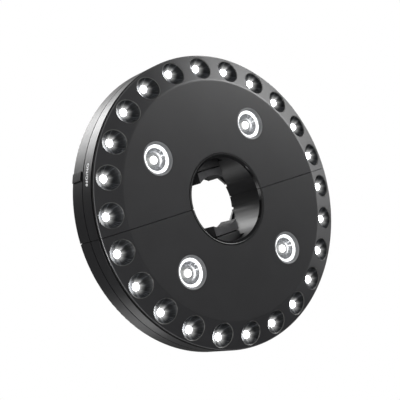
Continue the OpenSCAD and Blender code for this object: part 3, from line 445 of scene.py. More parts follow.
def board_mask():
    """FR4 laminate: green solder mask over pale tracks."""
    mat, tree, shader = finish_named("fr4_laminate_masked")
    place = node(tree, "ShaderNodeTexCoord")
    cells = node(tree, "ShaderNodeTexVoronoi", {"feature": "DISTANCE_TO_EDGE"}, Vector=(place, "Object"),
                 Scale=1 / (TRACK_MM * MM))
    tint = ramp(tree, (cells, "Distance"), [(0.03, linear("#3f8a5c")), (0.05, linear("#1c5634"))])
    plugged(shader, Base_Color=(tint, "Color"), Roughness=0.35)
    return mat


def cell_wrap():
    """Shrink-wrapped cell jacket: dark body with a copper-coloured band towards the nub end."""
    mat, tree, shader = finish_named("shrink_film_jacket")
    spread = node(tree, "ShaderNodeAttribute", {"attribute_name": "cell_way"})
    parts = node(tree, "ShaderNodeSeparateXYZ", Vector=(spread, "Vector"))
    tint = ramp(tree, (parts, "X"), [(0.0, linear("#1b1d22")), (0.70, linear("#1f2229")), (0.71, linear("#a8703a")),
                                     (1.0, linear("#b67c44"))])
    plugged(shader, Base_Color=(tint, "Color"), Roughness=0.28, Metallic=0.35)
    return mat


def clear_lens():
    """Clear moulded acrylic, thin enough to show what is behind it with only its gloss on top."""
    mat, tree, shader = finish_named("clear_acrylic")
    place = node(tree, "ShaderNodeTexCoord")
    ripple = node(tree, "ShaderNodeTexNoise", Vector=(place, "Object"), Scale=1 / (6 * MM), Detail=1.0)
    lift = node(tree, "ShaderNodeBump", Height=(ripple, "Fac"), Strength=0.05, Distance=0.05 * MM)
    plugged(shader, Base_Color=linear("#f4f7fa"), Roughness=0.04, IOR=1.49, Alpha=0.12, Normal=(lift, "Normal"))
    return mat


def make_finishes(look):
    """Makes every material once, under the name that the pieces ask for."""
    satin = look.shell_roughness
    FINISHES.update({
        # ABS moulded in a spark-eroded tool: dark charcoal with a satin sheen; the 0.35 mm grain is drawn coarse
        "face": grained("moulded_abs_face", 0.92, 1.1, satin, 0.35, 0.10),
        # The flat disc: the same ABS, a little smoother, with its tone painted darker as shade
        "disc": grained("moulded_abs_disc", 0.6, 0.75, satin - 0.03, 0.35, 0.10),
        "rear": grained("moulded_abs_back", 0.86, 1.04, satin + 0.04, 0.35, 0.16),
        # The same ABS where the tool was smoother, inside the bore, its tone painted darker as the bore's shade
        "bore": grained("smooth_abs_bore", 0.6, 0.75, 0.4, 0.6, 0.03),
        # Polished edge of the bore: painted nearly black as shade, with a sharp gleam
        "lip": grained("polished_abs_lip", 0.3, 0.4, 0.2, 0.6, 0.02),
        # Rim bead, polished in the tool: its front side painted light and half a mirror as a painted highlight, so that
        # its thin line catches the light
        "bead": grained("polished_abs_bead_painted_highlight", "#8a8a8b", "#969697", 0.2, 0.6, 0.03, metallic=0.7),
        # Blunted edges of the bowls, painted a little brighter as a highlight
        "edge": grained("abs_edge_painted_highlight", "#50504e", "#5e5e5b", 0.35, 0.5, 0.03),
        # Joints and grooves between the mouldings, painted near black as the shade that lies in them
        "joint_shade": grained("abs_in_shadow", 0.08, 0.14, 0.8, 0.4, 0.05),
        "button": grained("moulded_abs_button", 0.4, 0.52, 0.5, 0.3, 0.2),
        "bowl": bowl_gloss(),
        # ABS loaded with titanium white and grey, moulded smooth
        "bezel": grained("grey_abs_bezel", "#8c8d8f", "#98999b", 0.3, 0.5, 0.05),
        "slide": grained("grey_abs_slide", "#4c4d50", "#55565a", 0.5, 0.35, 0.2),
        # Nitrile rubber: dusty on its flanks, rubbed smoother on the grooved seat
        "grip": grained("nitrile_rubber_grip", "#3c3c3e", "#49494b", 0.72, 0.25, 0.5, cloud_mm=6),
        "seat": grained("nitrile_rubber_seat", "#3c3c3e", "#49494b", 0.42, 0.25, 0.3, cloud_mm=6),
        "resin": lit("diffused_led_resin", "#f4f8ff", "#ffffff", look.light_power),
        "phosphor": hot_cap(),
        # Acrylic rim round each reflector: the lamp's light in it is painted in as an even glow
        "rim": lit("backlit_acrylic_rim", "#f2f4f6", "#ffffff", 1.6, 0.35),
        # Vacuum-plated plastic, mirror bright with faint cloudiness
        "mirror": grained("vacuum_plated_abs", "#b4b5b8", "#d4d5d8", 0.16, 0.8, 0.04, cloud_mm=4, metallic=1.0),
        "lens": clear_lens(),
        "board": board_mask(),
        # Nickel-plated spring steel, drawn and tumbled
        "steel": grained("nickel_plated_steel", "#9a9a9c", "#b8b8ba", 0.26, 0.4, 0.1, metallic=1.0, cloud_mm=8),
        "jacket": cell_wrap(),
        "nylon": grained("black_nylon", "#111112", "#18181a", 0.5, 0.3, 0.15),
        "lead": grained("pvc_lead_sheath", "#0d0d0e", "#141415", 0.42, 0.5, 0.12),
        # Pad-printed ink, matt, with a little light of its own that keeps it white at this size
        "ink": lit("white_pad_print", "#f0f1f2", "#ffffff", 0.4, 0.6),
    })


def painted(obj, *names):
    """Gives a piece its finishes, the first one all over."""
    for name in names:
        obj.data.materials.append(FINISHES[name])
    return obj


def repaint(node_name, name):
    """Gives a CAD node that stays in view its finish."""
    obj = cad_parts[node_name]
    for slot in obj.material_slots:
        slot.material = FINISHES[name]
    if not obj.material_slots:
        obj.data.materials.append(FINISHES[name])


def handed_over(obj, body, node_name):
    """Lets a finished piece ride its body in place of a CAD node, which it hides."""
    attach(obj, body)
    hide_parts(node_name)


def dressed(node_name, name, body, paint, bevel):
    """The finished piece of a node that keeps its shape, with rounded edges and its material."""
    obj = painted(skin_of(node_name, name), paint)
    handed_over(smoothed(obj, bevel=bevel), body, node_name)


# Face shells

FACE, BOWL, JOINT_SHADE, EDGE, BEAD, DISC = range(6)  # order of the face shell's finishes
# Outlines of the holes for a small light and a large lamp as radius and depth, and the screw's hole, mm
LIGHT_HOLE = ((0, 7.6), (2.55, 7.6), (2.55, 9.5), (3.05, 9.5), (3.05, 11.4), (0, 11.4))
LAMP_HOLE = ((0, -1), (11.55, -1), (11.3, 0.2), (11.3, 0.8), (10.2, 0.8), (10.2, 11.4), (0, 11.4))
PILOT_R, PILOT_D = 1.3, (9.4, 19.4)
GROOVE = (6.7, 7.8)  # depths between which the groove behind the bead lies
RIM_FROM = (81.0, 6.0)  # the bowls' edges lie beyond this radius and before this depth
RIM_RIB = ((98.2, 5.4), (99.6, 5.4), (99.6, 6.7), (99.0, 6.7), (99.0, 17.4), (98.2, 17.4))
LIP_RIB = ((30.35, 0.12), (30.85, 0.12), (30.85, 4.0), (30.35, 4.0))


def face_outline():
    """Outside and inside of the front cover, as radius and depth."""
    slope = tan(CONE)
    lift = WALL / cos(CONE)
    ease, chamfer, groove, lap = 0.9, 0.25, 0.9, 0.5
    out = [(HOLE_R, chamfer), (HOLE_R + chamfer, 0.0), (FACE_R - ease, 0.0), (FACE_R - ease / 3, 0.03),
           (FACE_R + ease / 3, 0.11), (FACE_R + ease, ease * slope)]
    for i in range(9):
        a = radians(-90) + CONE + i * (radians(140) - CONE) / 8
        out.append((BEAD_X + BEAD_R * cos(a), BEAD_D + BEAD_R * sin(a)))
    out += [(BODY_R - groove, 6.96), (BODY_R - groove, 7.7), (BODY_R - 0.12, 7.76), (BODY_R, 7.9),
            (BODY_R, PARTING_D - 0.6), (BODY_R - lap, PARTING_D - 0.05), (BODY_R - lap, PARTING_D),
            (INNER_R, PARTING_D), (INNER_R, (INNER_R - FACE_R) * slope + lift),
            (FACE_R - (lift - WALL) / slope, WALL), (HOLE_R, WALL)]
    return out


def face_works():
    """What stands behind the face: cups, light collars, lamp wells, screw bosses and jaw rails."""
    tilt = tan(CONE)
    sunk = WALL / 2  # each work starts halfway through the wall of the face
    collar_r, collar_d, well_r, boss_r = 4.2, 8.6, 11.8, 3.4
    rail_x, rail_y, rail_end_d, cup_sunk = (10.5, 12.5), (32.4, 52.0), 27.0, 1.1
    rest_hands()
    bpy.ops.mesh.primitive_uv_sphere_add(segments=48, ring_count=24, radius=CUP_R * MM,
                                         location=(RING_R * MM, 0, z_of(BOWL_MID_D)))
    cup = opened(added("cup"))
    bpy.ops.mesh.bisect(plane_co=(RING_R * MM, 0, z_of((RING_R - FACE_R) * tilt + cup_sunk)), plane_no=(-tilt, 0, 1),
                        use_fill=True, clear_inner=True)
    cup = joined("cup", [cup, rod("collar", RING_R, 0, collar_d, BOARD_D, collar_r, 32)])
    works = [set_round(cup, a, "cup_copy") for a in LED_ANGLES]
    bpy.data.objects.remove(cup)
    works += [rod("well", *across(LAMP_R, a), sunk, BOARD_D, well_r, 96) for a in LAMP_ANGLES]
    works += [rod("boss", x, y, sunk, PARTING_D, boss_r, 32) for x, y in SCREWS]
    for low, high in ((-rail_x[1], -rail_x[0]), rail_x):
        works.append(box("rail", (low, rail_y[0], sunk), (high, rail_y[1], rail_end_d)))
    return joined("works", works)


def rim_tool():
    """A blunt cone square to the sloped rim, which breaks the sharp edge of one bowl."""
    rest_hands()
    low, high = -1.0, 1.2  # from before the rim to behind it
    mid_r = RIM_FOOT[0] - (low + high) / 2 * sin(CONE)
    mid_d = RIM_FOOT[1] + (low + high) / 2 * cos(CONE)
    bpy.ops.mesh.primitive_cone_add(vertices=72, radius1=(RIM_R - low) * MM, radius2=(RIM_R - high) * MM,
                                    depth=(high - low) * MM, location=(mid_r * MM, 0, z_of(mid_d)),
                                    rotation=(0, -CONE, 0))
    return added("rim_cone")


def face_tools():
    """Three cutting tools: the bowls, their blunted rims, and the holes for lights, lamps and screws."""
    tools = []
    for a in LED_ANGLES:
        rest_hands()
        bpy.ops.mesh.primitive_uv_sphere_add(segments=72, ring_count=36, radius=BOWL_R * MM,
                                             location=spot(RING_R, a, BOWL_MID_D), rotation=(0, 0, radians(a)))
        tools.append(added("bowl"))
    bowls = joined("bowls", tools)
    first = rim_tool()
    rims = joined("rims", [set_round(first, a, "rim_copy") for a in LED_ANGLES])
    bpy.data.objects.remove(first)
    tools = [turned("light_hole", LIGHT_HOLE, 32, across(RING_R, a), closed=False) for a in LED_ANGLES]
    tools += [turned("lamp_hole", LAMP_HOLE, 96, across(LAMP_R, a), closed=False) for a in LAMP_ANGLES]
    tools += [rod("pilot", x, y, *PILOT_D, PILOT_R, 24) for x, y in SCREWS]
    return bowls, rims, joined("holes", tools)


def seam_ribs(outline):
    """Thin ribs at both ends of the seam, which keep daylight from showing between the halves."""
    past, root = 0.15, 0.6  # reach over the seam plane, and into the half
    ribs = []
    for side in (-1, 1):
        rib = drawn("rib", [(side * r * MM, -past * MM, z_of(d)) for r, d in outline])
        ribs.append(raised(rib, (0, (past + root) * MM, 0)))
    return joined("ribs", ribs)


def mark_faces(obj):
    """Gives each face its finish by its place, and each bowl point its direction from the bowl's middle."""
    mesh = obj.data
    way = mesh.attributes.new("bowl_way", "FLOAT_VECTOR", "POINT")
    middles, mouths = [], []
    for a in LED_ANGLES:
        for side in (1, -1):
            middles.append(spot(RING_R, side * a, BOWL_MID_D))
            inward = Vector(spot(-sin(CONE), side * a, PAD_MIDDLE + cos(CONE))) / MM
            mouths.append((Vector(spot(RIM_FOOT[0], side * a, RIM_FOOT[1])), inward))
    in_bowl = set()
    for v in mesh.vertices:
        for m in middles:
            d = [v.co[i] - m[i] for i in range(3)]
            if abs(sqrt(d[0] ** 2 + d[1] ** 2 + d[2] ** 2) - BOWL_R * MM) < NEAR * MM:
                flat = max(hypot(d[0], d[1]), 1e-6)
                way.data[v.index].vector = (d[0] / flat, d[1] / flat, 0.15 * flat / (BOWL_R * MM))
                in_bowl.add(v.index)
                break
    for face in mesh.polygons:
        x, y, z = face.center
        r, depth = hypot(x, y) / MM, z / MM + PAD_MIDDLE
        if in_bowl.issuperset(face.vertices) and face.normal.z < 0.2:
            face.material_index = BOWL
        # The groove behind the bead and the parting line take the painted shade
        elif BODY_R - 1.0 < r < BODY_R - NEAR and (GROOVE[0] < depth < GROOVE[1] or depth > PARTING_D - 0.59):
            face.material_index = JOINT_SHADE
        # The bead's front side takes the painted highlight, its outer side the painted shade
        elif r > BEAD_X and depth < GROOVE[0]:
            face.material_index = BEAD if face.normal.z < -0.6 else JOINT_SHADE
        elif r < FACE_R and face.normal.z < -0.99 and depth < 0.1:
            face.material_index = DISC
        # The blunted rims of the bowls take the brighter finish, a painted highlight
        elif RIM_FROM[0] < r < BODY_R and depth < RIM_FROM[1]:
            foot, inward = min(mouths, key=lambda m: (m[0] - face.center).length_squared)
            off = face.center - foot
            sunk = off.dot(inward)
            if -0.2 < sunk / MM < 0.5 and abs((off - sunk * inward).length / MM - RIM_R + sunk / MM) < 0.03:
                face.material_index = EDGE


class POLELIGHT_OT_face_shells(bpy.types.Operator):
    """Turns the two lamp faces with their rim bead, bowls and lamp holes"""
    bl_idname = "polelight.face_shells"
    bl_label = "Face shells"

    def execute(self, context):
        shell = opened(turned("switch_face_shell", face_outline(), 256))
        bpy.ops.mesh.bisect(plane_co=(0, SEAM * MM, 0), plane_no=(0, 1, 0), use_fill=True, clear_inner=True)
        carved(shell, face_works(), "UNION", own=True)
        bowls, rims, holes = face_tools()
        carved(shell, bowls)
        carved(shell, rims)
        carved(shell, holes, own=True)
        other = mirrored(shell, "swing_face_shell")
        carved(shell, seam_ribs(RIM_RIB), "UNION")
        for half, obj in zip(HALVES, (shell, other)):
            painted(obj, "face", "bowl", "joint_shade", "edge", "bead", "disc")
            mark_faces(obj)
            handed_over(smoothed(obj, 14), half + "_half", half + "_front_cover")
        return {"FINISHED"}


# Rear shells

BORE, LIP, SHADOW = 1, 2, 3  # order of the rear shell's finishes, after the back's own
BORE_REACH, LIP_D, BORE_END_D = 31.5, 2.5, 30.05  # what lies this near the axis lines the bore, mm
TONGUE = (16.0, 19.0)  # depths of the tongue that the front cover laps over
BUTTON_D, BUTTON_HALF = 24.8, (3.5, 5.6)  # middle of the button's hole, and its half sizes with room


def round_lip(obj):
    """Rounds the two edges of the crest round the bore, so that it catches one thin line of light."""
    pick(obj)
    bpy.ops.object.mode_set(mode="EDIT")
    bpy.ops.mesh.select_mode(type="EDGE")
    bpy.ops.mesh.select_all(action="DESELECT")
    bpy.ops.object.mode_set(mode="OBJECT")
    for edge in obj.data.edges:
        ends = [obj.data.vertices[i].co for i in edge.vertices]
        rs = [hypot(p.x, p.y) / MM for p in ends]
        level = all(abs(p.z / MM + PAD_MIDDLE) < NEAR for p in ends) and abs(rs[0] - rs[1]) < NEAR
        edge.select = level and min(abs(rs[0] - crest) for crest in LIP_CREST) < 0.03
    bpy.ops.object.mode_set(mode="EDIT")
    bpy.ops.mesh.bevel(offset=LIP_ROUND * MM, offset_type="OFFSET", segments=4, clamp_overlap=True)
    bpy.ops.mesh.select_mode(type="VERT")
    bpy.ops.object.mode_set(mode="OBJECT")


class POLELIGHT_OT_rear_shells(bpy.types.Operator):
    """Finishes the backs, the rear side walls and the bore with its bright lip"""
    bl_idname = "polelight.rear_shells"
    bl_label = "Rear shells"

    def execute(self, context):
        for half in HALVES:
            obj = skin_of(half + "_rear_cover", half + "_rear_shell")
            round_lip(obj)
            if half == "switch":
                carved(obj, seam_ribs(LIP_RIB), "UNION")
            painted(obj, "rear", "bore", "lip", "joint_shade")
            c, s = BUTTON_WAY
            for face in obj.data.polygons:
                x, y, z = (v / MM for v in face.center)
                r, depth = hypot(x, y), z + PAD_MIDDLE
                aside, out = y * c - x * s, x * c + y * s
                if r < BORE_REACH and depth < LIP_D:
                    face.material_index = LIP if r < LIP_CREST[1] - 0.3 else SHADOW
                elif r < BORE_REACH and depth < BORE_END_D:
                    face.material_index = BORE
                elif INNER_R - 0.5 < r < BODY_R - 0.05 and TONGUE[0] < depth < TONGUE[1]:
                    face.material_index = SHADOW
                elif half == "switch" and INNER_R - 1.0 < out < BODY_R - 0.1 and abs(aside) < BUTTON_HALF[0] \
                        and abs(depth - BUTTON_D) < BUTTON_HALF[1]:
                    face.material_index = SHADOW
            handed_over(smoothed(obj), half + "_half", half + "_rear_cover")
        return {"FINISHED"}


# Ring lights

# A lamp's foot as radius and depth, and its body's radius and the depth where its dome starts, mm
DOME_FOOT, DOME_R, DOME_D = ((0, 10.4), (2.75, 10.4), (2.9, 10.25), (2.9, 9.62), (2.78, 9.5), (2.4, 9.5)), 2.4, 8.4


class POLELIGHT_OT_ring_lights(bpy.types.Operator):
    """Turns one domed light and sets its copies round each half"""
    bl_idname = "polelight.ring_lights"
    bl_label = "Ring lights"

    def execute(self, context):
        arc = [radians(a) for a in range(0, 90, 12)]
        outline = [*DOME_FOOT, *((DOME_R * cos(a), DOME_D - DOME_R * sin(a)) for a in arc), (0, DOME_D - DOME_R)]
        first = turned("dome", outline, 32, (RING_R, 0), closed=False)
        domes = [set_round(first, a, "dome_copy") for a in LED_ANGLES]
        bpy.data.objects.remove(first)
        shown = joined("switch_ring_domes", domes)
        other = mirrored(shown, "swing_ring_domes")
        for half, obj in zip(HALVES, (shown, other)):
            smoothed(painted(obj, "resin"), 35, even=False)
            handed_over(obj, half + "_half", half + "_ring_lights")
        return {"FINISHED"}


# Large lamps

# Outlines of one lamp's round pieces, as radius and depth in mm
BEZEL = ((11.2, 0.15), (11.1, 0.06), (10.5, 0.05), (10.35, 0.12), (9.45, 1.5), (9.5, 1.6), (10.1, 1.6), (10.1, 0.8),
         (11.2, 0.8))
LENS = ((0, 1.6), (9.6, 1.6), (10.0, 1.65), (10.1, 1.75), (10.1, 2.7), (10.0, 2.8), (0, 2.8))
BRIGHT_RIM = ((7.65, 2.95), (7.8, 2.82), (9.9, 2.82), (10.1, 2.95), (10.1, 3.4), (7.9, 3.4))
FACET_RINGS, FACETS = ((7.6, 2.85), (6.8, 3.9), (5.9, 5.1), (5.0, 6.5), (4.2, 7.9), (3.4, 9.2)), 20
SKIRT = ((9.2, 3.4), (10.1, 3.4), (10.1, 10.4), (9.2, 10.4))
CHIP_HALF, CHIP_D, CAP_R, CAP_D = 2.7, 9.3, 2.9, 6.2  # square chip, and the silicone cap over it
LAMP_PAINT = {"lamp_bezels": ("bezel", "grey_plastic"), "lamp_reflectors": ("mirror", "bright_reflector"),
              "lamp_rims": ("rim", "bright_reflector"), "lamp_lenses": ("lens", "clear_lens"),
              "lamp_chips": ("phosphor", "bulb_resin")}  # finish and slot of each set of pieces


def faceted_cup(name, centre):
    """A reflector cup whose rings of facets are turned half a step against each other."""
    obj = turned(name, FACET_RINGS, FACETS, centre, closed=False)
    c, s = cos(pi / FACETS), sin(pi / FACETS)
    for v in obj.data.vertices:
        depth = v.co.z / MM + PAD_MIDDLE
        ring = min(range(len(FACET_RINGS)), key=lambda i: abs(FACET_RINGS[i][1] - depth))
        if ring % 2:
            dx, dy = v.co.x - centre[0] * MM, v.co.y - centre[1] * MM
            v.co.x, v.co.y = centre[0] * MM + dx * c - dy * s, centre[1] * MM + dx * s + dy * c
    worked(obj, "SOLIDIFY", thickness=0.5 * MM, offset=0.0)
    opened(obj)
    bpy.ops.mesh.quads_convert_to_tris()
    return closed_up(obj)


class POLELIGHT_OT_large_lamps(bpy.types.Operator):
    """Builds the bezels, lenses, faceted reflectors, bright rims and chips of the large lamps"""
    bl_idname = "polelight.large_lamps"
    bl_label = "Large lamps"

    def execute(self, context):
        sets = {key: [] for key in LAMP_PAINT}
        for a in LAMP_ANGLES:
            c = across(LAMP_R, a)
            sets["lamp_bezels"].append(turned("bezel", BEZEL, 96, c))
            sets["lamp_reflectors"] += [faceted_cup("cup", c), turned("skirt", SKIRT, 64, c)]
            sets["lamp_rims"].append(turned("rim", BRIGHT_RIM, 96, c))
            sets["lamp_lenses"].append(turned("lens", LENS, 96, c, False))
            low, high = [tuple(v + side * CHIP_HALF for v in c) for side in (-1, 1)]
            chip = smoothed(box("chip", (*low, CHIP_D), (*high, BOARD_D)), bevel=0.12)
            tips = [radians(t) for t in range(10, 91, 10)]
            cap = [(0, 3.3)] + [(CAP_R * sin(t), CAP_D - CAP_R * cos(t)) for t in tips]
            cap += [(CAP_R, CHIP_D + 0.05), (0, CHIP_D + 0.05)]
            sets["lamp_chips"] += [chip, turned("phosphor", cap, 32, c, False)]
        for key, objs in sets.items():
            first = joined("switch_" + key, objs)
            for half, obj in zip(HALVES, (first, mirrored(first, "swing_" + key))):
                paint, slot = LAMP_PAINT[key]
                smoothed(painted(obj, paint), 12 if key == "lamp_reflectors" else 35, even=False)
                stands_for = "lamp_reflectors" if key == "lamp_rims" else key
                handed_over(obj, half + "_half", half + "_" + stands_for)
        return {"FINISHED"}


# Pole jaws

SPRING_FOOT = 25.1  # the jaw's spring starts this far from the pole's axis, mm
JAW_SPRING = (33.5, 4.0, 4.0, 11, 1.0)  # length, radius at both ends, turns and wire


def grip_pad():
    """The rubber pad: a curved seat from corner to corner, with fine grooves along the pole."""
    seat_r, spread, half, back, front, height = 18.0, 34.0, 10.2, 22.2, 10.5, 16.8
    grooves, deep_r = 9, seat_r + 0.35
    edge = seat_r * cos(radians(spread))
    arc = []
    for i in range(grooves):
        for step, r in ((-2.1, seat_r), (-0.55, seat_r), (-0.4, deep_r), (0.4, deep_r), (0.55, seat_r)):
            t = radians(spread - 2 * spread * (i + 0.5) / grooves - step)
            arc.append((r * sin(t), r * cos(t)))
    outline = [(half, back), (half, edge)] + arc + [(-half, edge), (-half, back)]
    obj = raised(drawn("pad", [(x * MM, y * MM, z_of(front)) for x, y in outline]), (0, 0, height * MM))
    carved(obj, box("jaw_key", (-4.5, 20.5, 12.9), (4.5, 24.0, 24.9)))
    painted(smoothed(obj, 25, bevel=0.18), "grip", "seat")
    for face in obj.data.polygons:
        in_seat = abs(face.normal.z) < 0.2 and hypot(face.center.x, face.center.y) < (seat_r + 0.7) * MM
        face.material_index = int(in_seat)
    return obj


class POLELIGHT_OT_pole_jaws(bpy.types.Operator):
    """Finishes the sliding jaws, their ribbed rubber pads and their springs"""
    bl_idname = "polelight.pole_jaws"
    bl_label = "Pole jaws"

    def execute(self, context):
        pad = grip_pad()
        pads = (pad, mirrored(pad, "swing_grip_pad"))
        pad.name = "switch_grip_pad"
        for half, obj, side in zip(HALVES, pads, (1, -1)):
            handed_over(smoothed(obj, 25), half + "_jaw", half + "_jaw_pad")
            dressed(half + "_jaw", half + "_jaw_block", half + "_jaw", "bore", 0.25)
            spring = coil(half + "_jaw_coil", (0, side * SPRING_FOOT * MM, 0), (0, side, 0), (1, 0, 0), *JAW_SPRING)
            handed_over(painted(spring, "steel"), half + "_half", half + "_jaw_spring")
            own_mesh(spring)
        return {"FINISHED"}


# Power button

WORDS_ANGLE, WORDS_D, INK = 23.7, 13.0, 0.02  # middle of the wording on the side wall, and its ink's thickness


class POLELIGHT_OT_power_button(bpy.types.Operator):
    """Finishes the power button and its switch, and the plain wording beside it"""
    bl_idname = "polelight.power_button"
    bl_label = "Power button"

    def execute(self, context):
        look = context.scene.pole_light
        dressed("power_button", "power_button_cap", "power_button", "button", 0.25)
        dressed("button_switch", "button_switch_body", "switch_half", "nylon", 0.15)
        rest_hands()
        bpy.ops.object.text_add()
        words = bpy.context.object
        letters = {"body": "ON/OFF", "size": look.lettering_height * MM * 1.4, "align_x": "CENTER", "align_y": "CENTER",
                   "extrude": INK * MM, "offset": 0.05 * MM, "space_character": 1.1, "resolution_u": 4}
        for key, value in letters.items():
            setattr(words.data, key, value)
        bpy.ops.object.convert(target="MESH")
        words = opened(added("on_off_wording"))
        bpy.ops.mesh.subdivide(number_cuts=2)
        rest_hands()
        for v in words.data.vertices:
            along, up, out = v.co.x, v.co.y, v.co.z
            a = radians(WORDS_ANGLE) - along / (BODY_R * MM)
            r = BODY_R * MM + 0.03 * MM + out
            v.co = (r * cos(a), r * sin(a), z_of(WORDS_D) - up)
        painted(words, "ink")
        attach(words, "switch_half")
        return {"FINISHED"}


# Fittings on the back


class POLELIGHT_OT_back_fittings(bpy.types.Operator):
    """Finishes the battery doors, hooks, latch slide, hinge pin and screws"""
    bl_idname = "polelight.back_fittings"
    bl_label = "Back fittings"

    def execute(self, context):
        for part, paint, bevel in (("_battery_door", "rear", 0.2), ("_hook", "button", 0.3)):
            for half in HALVES:
                dressed(half + part, half + part + "_finished", half + part, paint, bevel)
        dressed("latch_slide", "latch_slide_finished", "latch_slide", "slide", 0.15)
        dressed("hinge_pin", "hinge_pin_finished", "switch_half", "steel", 0.2)
        for half in HALVES:
            screws = half + "_cover_screws"
            dressed(screws, screws + "_finished", half + "_half", "steel", 0.1)
        return {"FINISHED"}


# Inner parts

# Routes of the leads as x, y and depth in mm: one past the hinge, alike on both sides, and one up to the button
LINK_HALF = ((-84, 13, 12.0), (-84, 13, 13.2), (-84.4, 12.2, 14.4), (-85.6, 10.4, 15), (-87.2, 7.6, 15),
             (-88, 4.4, 15), (-88, 2.2, 15))
LINK_ROUTE = (*LINK_HALF, (-88, 0, 15), *((x, -y, d) for x, y, d in reversed(LINK_HALF)))
SWITCH_ROUTE = ((86, 4, 21), (85, 4, 21), (83.4, 3.9, 20.4), (82.2, 3.6, 18.8), (81.6, 3.2, 16.6), (81.4, 3, 14.2),
                (81.4, 3, 12.0))
CELL_R, CELL_LEN, CELL_Y, CELL_PITCH, CELL_D, PLATE_X = 7.1, 50.2, 67.6, 14.6, 22.6, 27.5
CELL = ((0, 0), (6.3, 0), (6.75, 0.25), (7.0, 0.7), (CELL_R, 1.0), (CELL_R, 48.0), (7.0, 48.5), (6.7, 48.85),
        (6.0, 49.0), (3.3, 49.0), (2.75, 49.1), (2.75, 50.0), (2.5, CELL_LEN), (0, CELL_LEN))
CONTACT_SPRING = (4.8, 3.6, 2.0, 4, 0.5)  # length, radius at foot and tip, turns and wire
CELL_CAN_R, CELL_NUB_FROM = 6.2, 48.9  # bare metal lies within this radius at the foot, and beyond this height


def cell_at(name, cell_x, cell_y, way):
    """One AA cell lying along X, its nub towards way, turned upright first and then laid down."""
    obj = turned(name, [(r, d + PAD_MIDDLE) for r, d in CELL], 48, closed=False)
    mesh = obj.data
    mark = mesh.attributes.new("cell_way", "FLOAT_VECTOR", "POINT")
    for v in mesh.vertices:
        mark.data[v.index].vector = (v.co.z / (CELL_LEN * MM), 0, 0)
    for face in mesh.polygons:
        x, y, z = (v / MM for v in face.center)
        face.material_index = int(z > CELL_NUB_FROM or (z < 0.2 and hypot(x, y) < CELL_CAN_R))
    obj.rotation_euler = (0, radians(90 * way), 0)
    obj.location = (cell_x * MM, cell_y * MM, z_of(CELL_D))
    return settle(obj)


class POLELIGHT_OT_inner_parts(bpy.types.Operator):
    """Finishes the boards, contacts, springs, cells and leads inside the halves"""
    bl_idname = "polelight.inner_parts"
    bl_label = "Inner parts"

    def execute(self, context):
        for half, side in zip(HALVES, (1, -1)):
            for part, paint in (("led_board", "board"), ("battery_contacts", "steel")):
                repaint(half + "_" + part, paint)
            cells, springs = [], []
            for i, way in ((0, 1), (1, -1)):
                y = side * (CELL_Y + i * CELL_PITCH)
                cells.append(cell_at("cell", way * (PLATE_X - CELL_LEN), y, way))
                foot = (-way * PLATE_X * MM, y * MM, z_of(CELL_D))
                springs.append(coil("cone", foot, (way, 0, 0), (0, 1, 0), *CONTACT_SPRING, steps=24))
            both = painted(joined(half + "_cell_pair", cells), "jacket", "steel")
            handed_over(smoothed(both, even=False), half + "_half", half + "_cells")
            cones = painted(joined(half + "_contact_cones", springs), "steel")
            handed_over(cones, half + "_half", half + "_contact_springs")
        repaint("button_board", "board")
        link = painted(lead("link_lead_sheath", LINK_ROUTE, 1.1), "lead")
        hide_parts("link_lead")
        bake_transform(link)
        c, s = BUTTON_WAY
        short = lead("switch_lead_sheath", [(x * c - y * s, x * s + y * c, d) for x, y, d in SWITCH_ROUTE], 0.8)
        handed_over(painted(short, "lead"), "switch_half", "switch_lead")
        return {"FINISHED"}


# Studio

# The camera as the photograph has it: place in metres, ways to its right and top, and lens in mm
CAMERA_PLACE, CAMERA_LENS = (0.3952, 0.0141, -0.5024), 84.24
CAMERA_RIGHT, CAMERA_UP = (-0.7559, -0.2881, -0.5879), (-0.2373, 0.9575, -0.1642)
FLOOR_Z, LIGHT_REACH = -1.2, 1.4  # floor's height and the lights' distance, metres

# Each soft light: name, direction from the object, width and height in metres, power in watts
SOFT_LIGHTS = (
    ("right_light", (-0.93, 0.05, -0.36), (0.5, 0.5), 2.6),
    ("right_upper_light", (-0.84, 0.27, -0.47), (0.5, 0.5), 4.5),
    ("front_upper_light", (-0.72, 0.38, -0.58), (0.5, 0.5), 5.7),
    ("right_lower_light", (-0.9, -0.2, -0.38), (0.5, 0.5), 1.1),
    ("back_top_light", (0.02, 0.63, 0.77), (0.5, 0.5), 6.2),
    ("back_left_light", (0.33, 0.57, 0.75), (0.3, 0.3), 1.8),
    ("back_right_light", (-0.3, 0.56, 0.77), (0.4, 0.4), 0.5),
    ("back_low_light", (0.18, -0.6, 0.77), (0.45, 0.45), 1.0),
    ("left_strip_light", (0.89, -0.21, -0.18), (0.12, 1.6), 4.0),
    ("low_strip_light", (0.57, -0.82, -0.11), (0.12, 1.0), 2.0),
    ("bead_light", (0.35, 0.0, -0.93), (0.45, 1.6), 5.0),
)


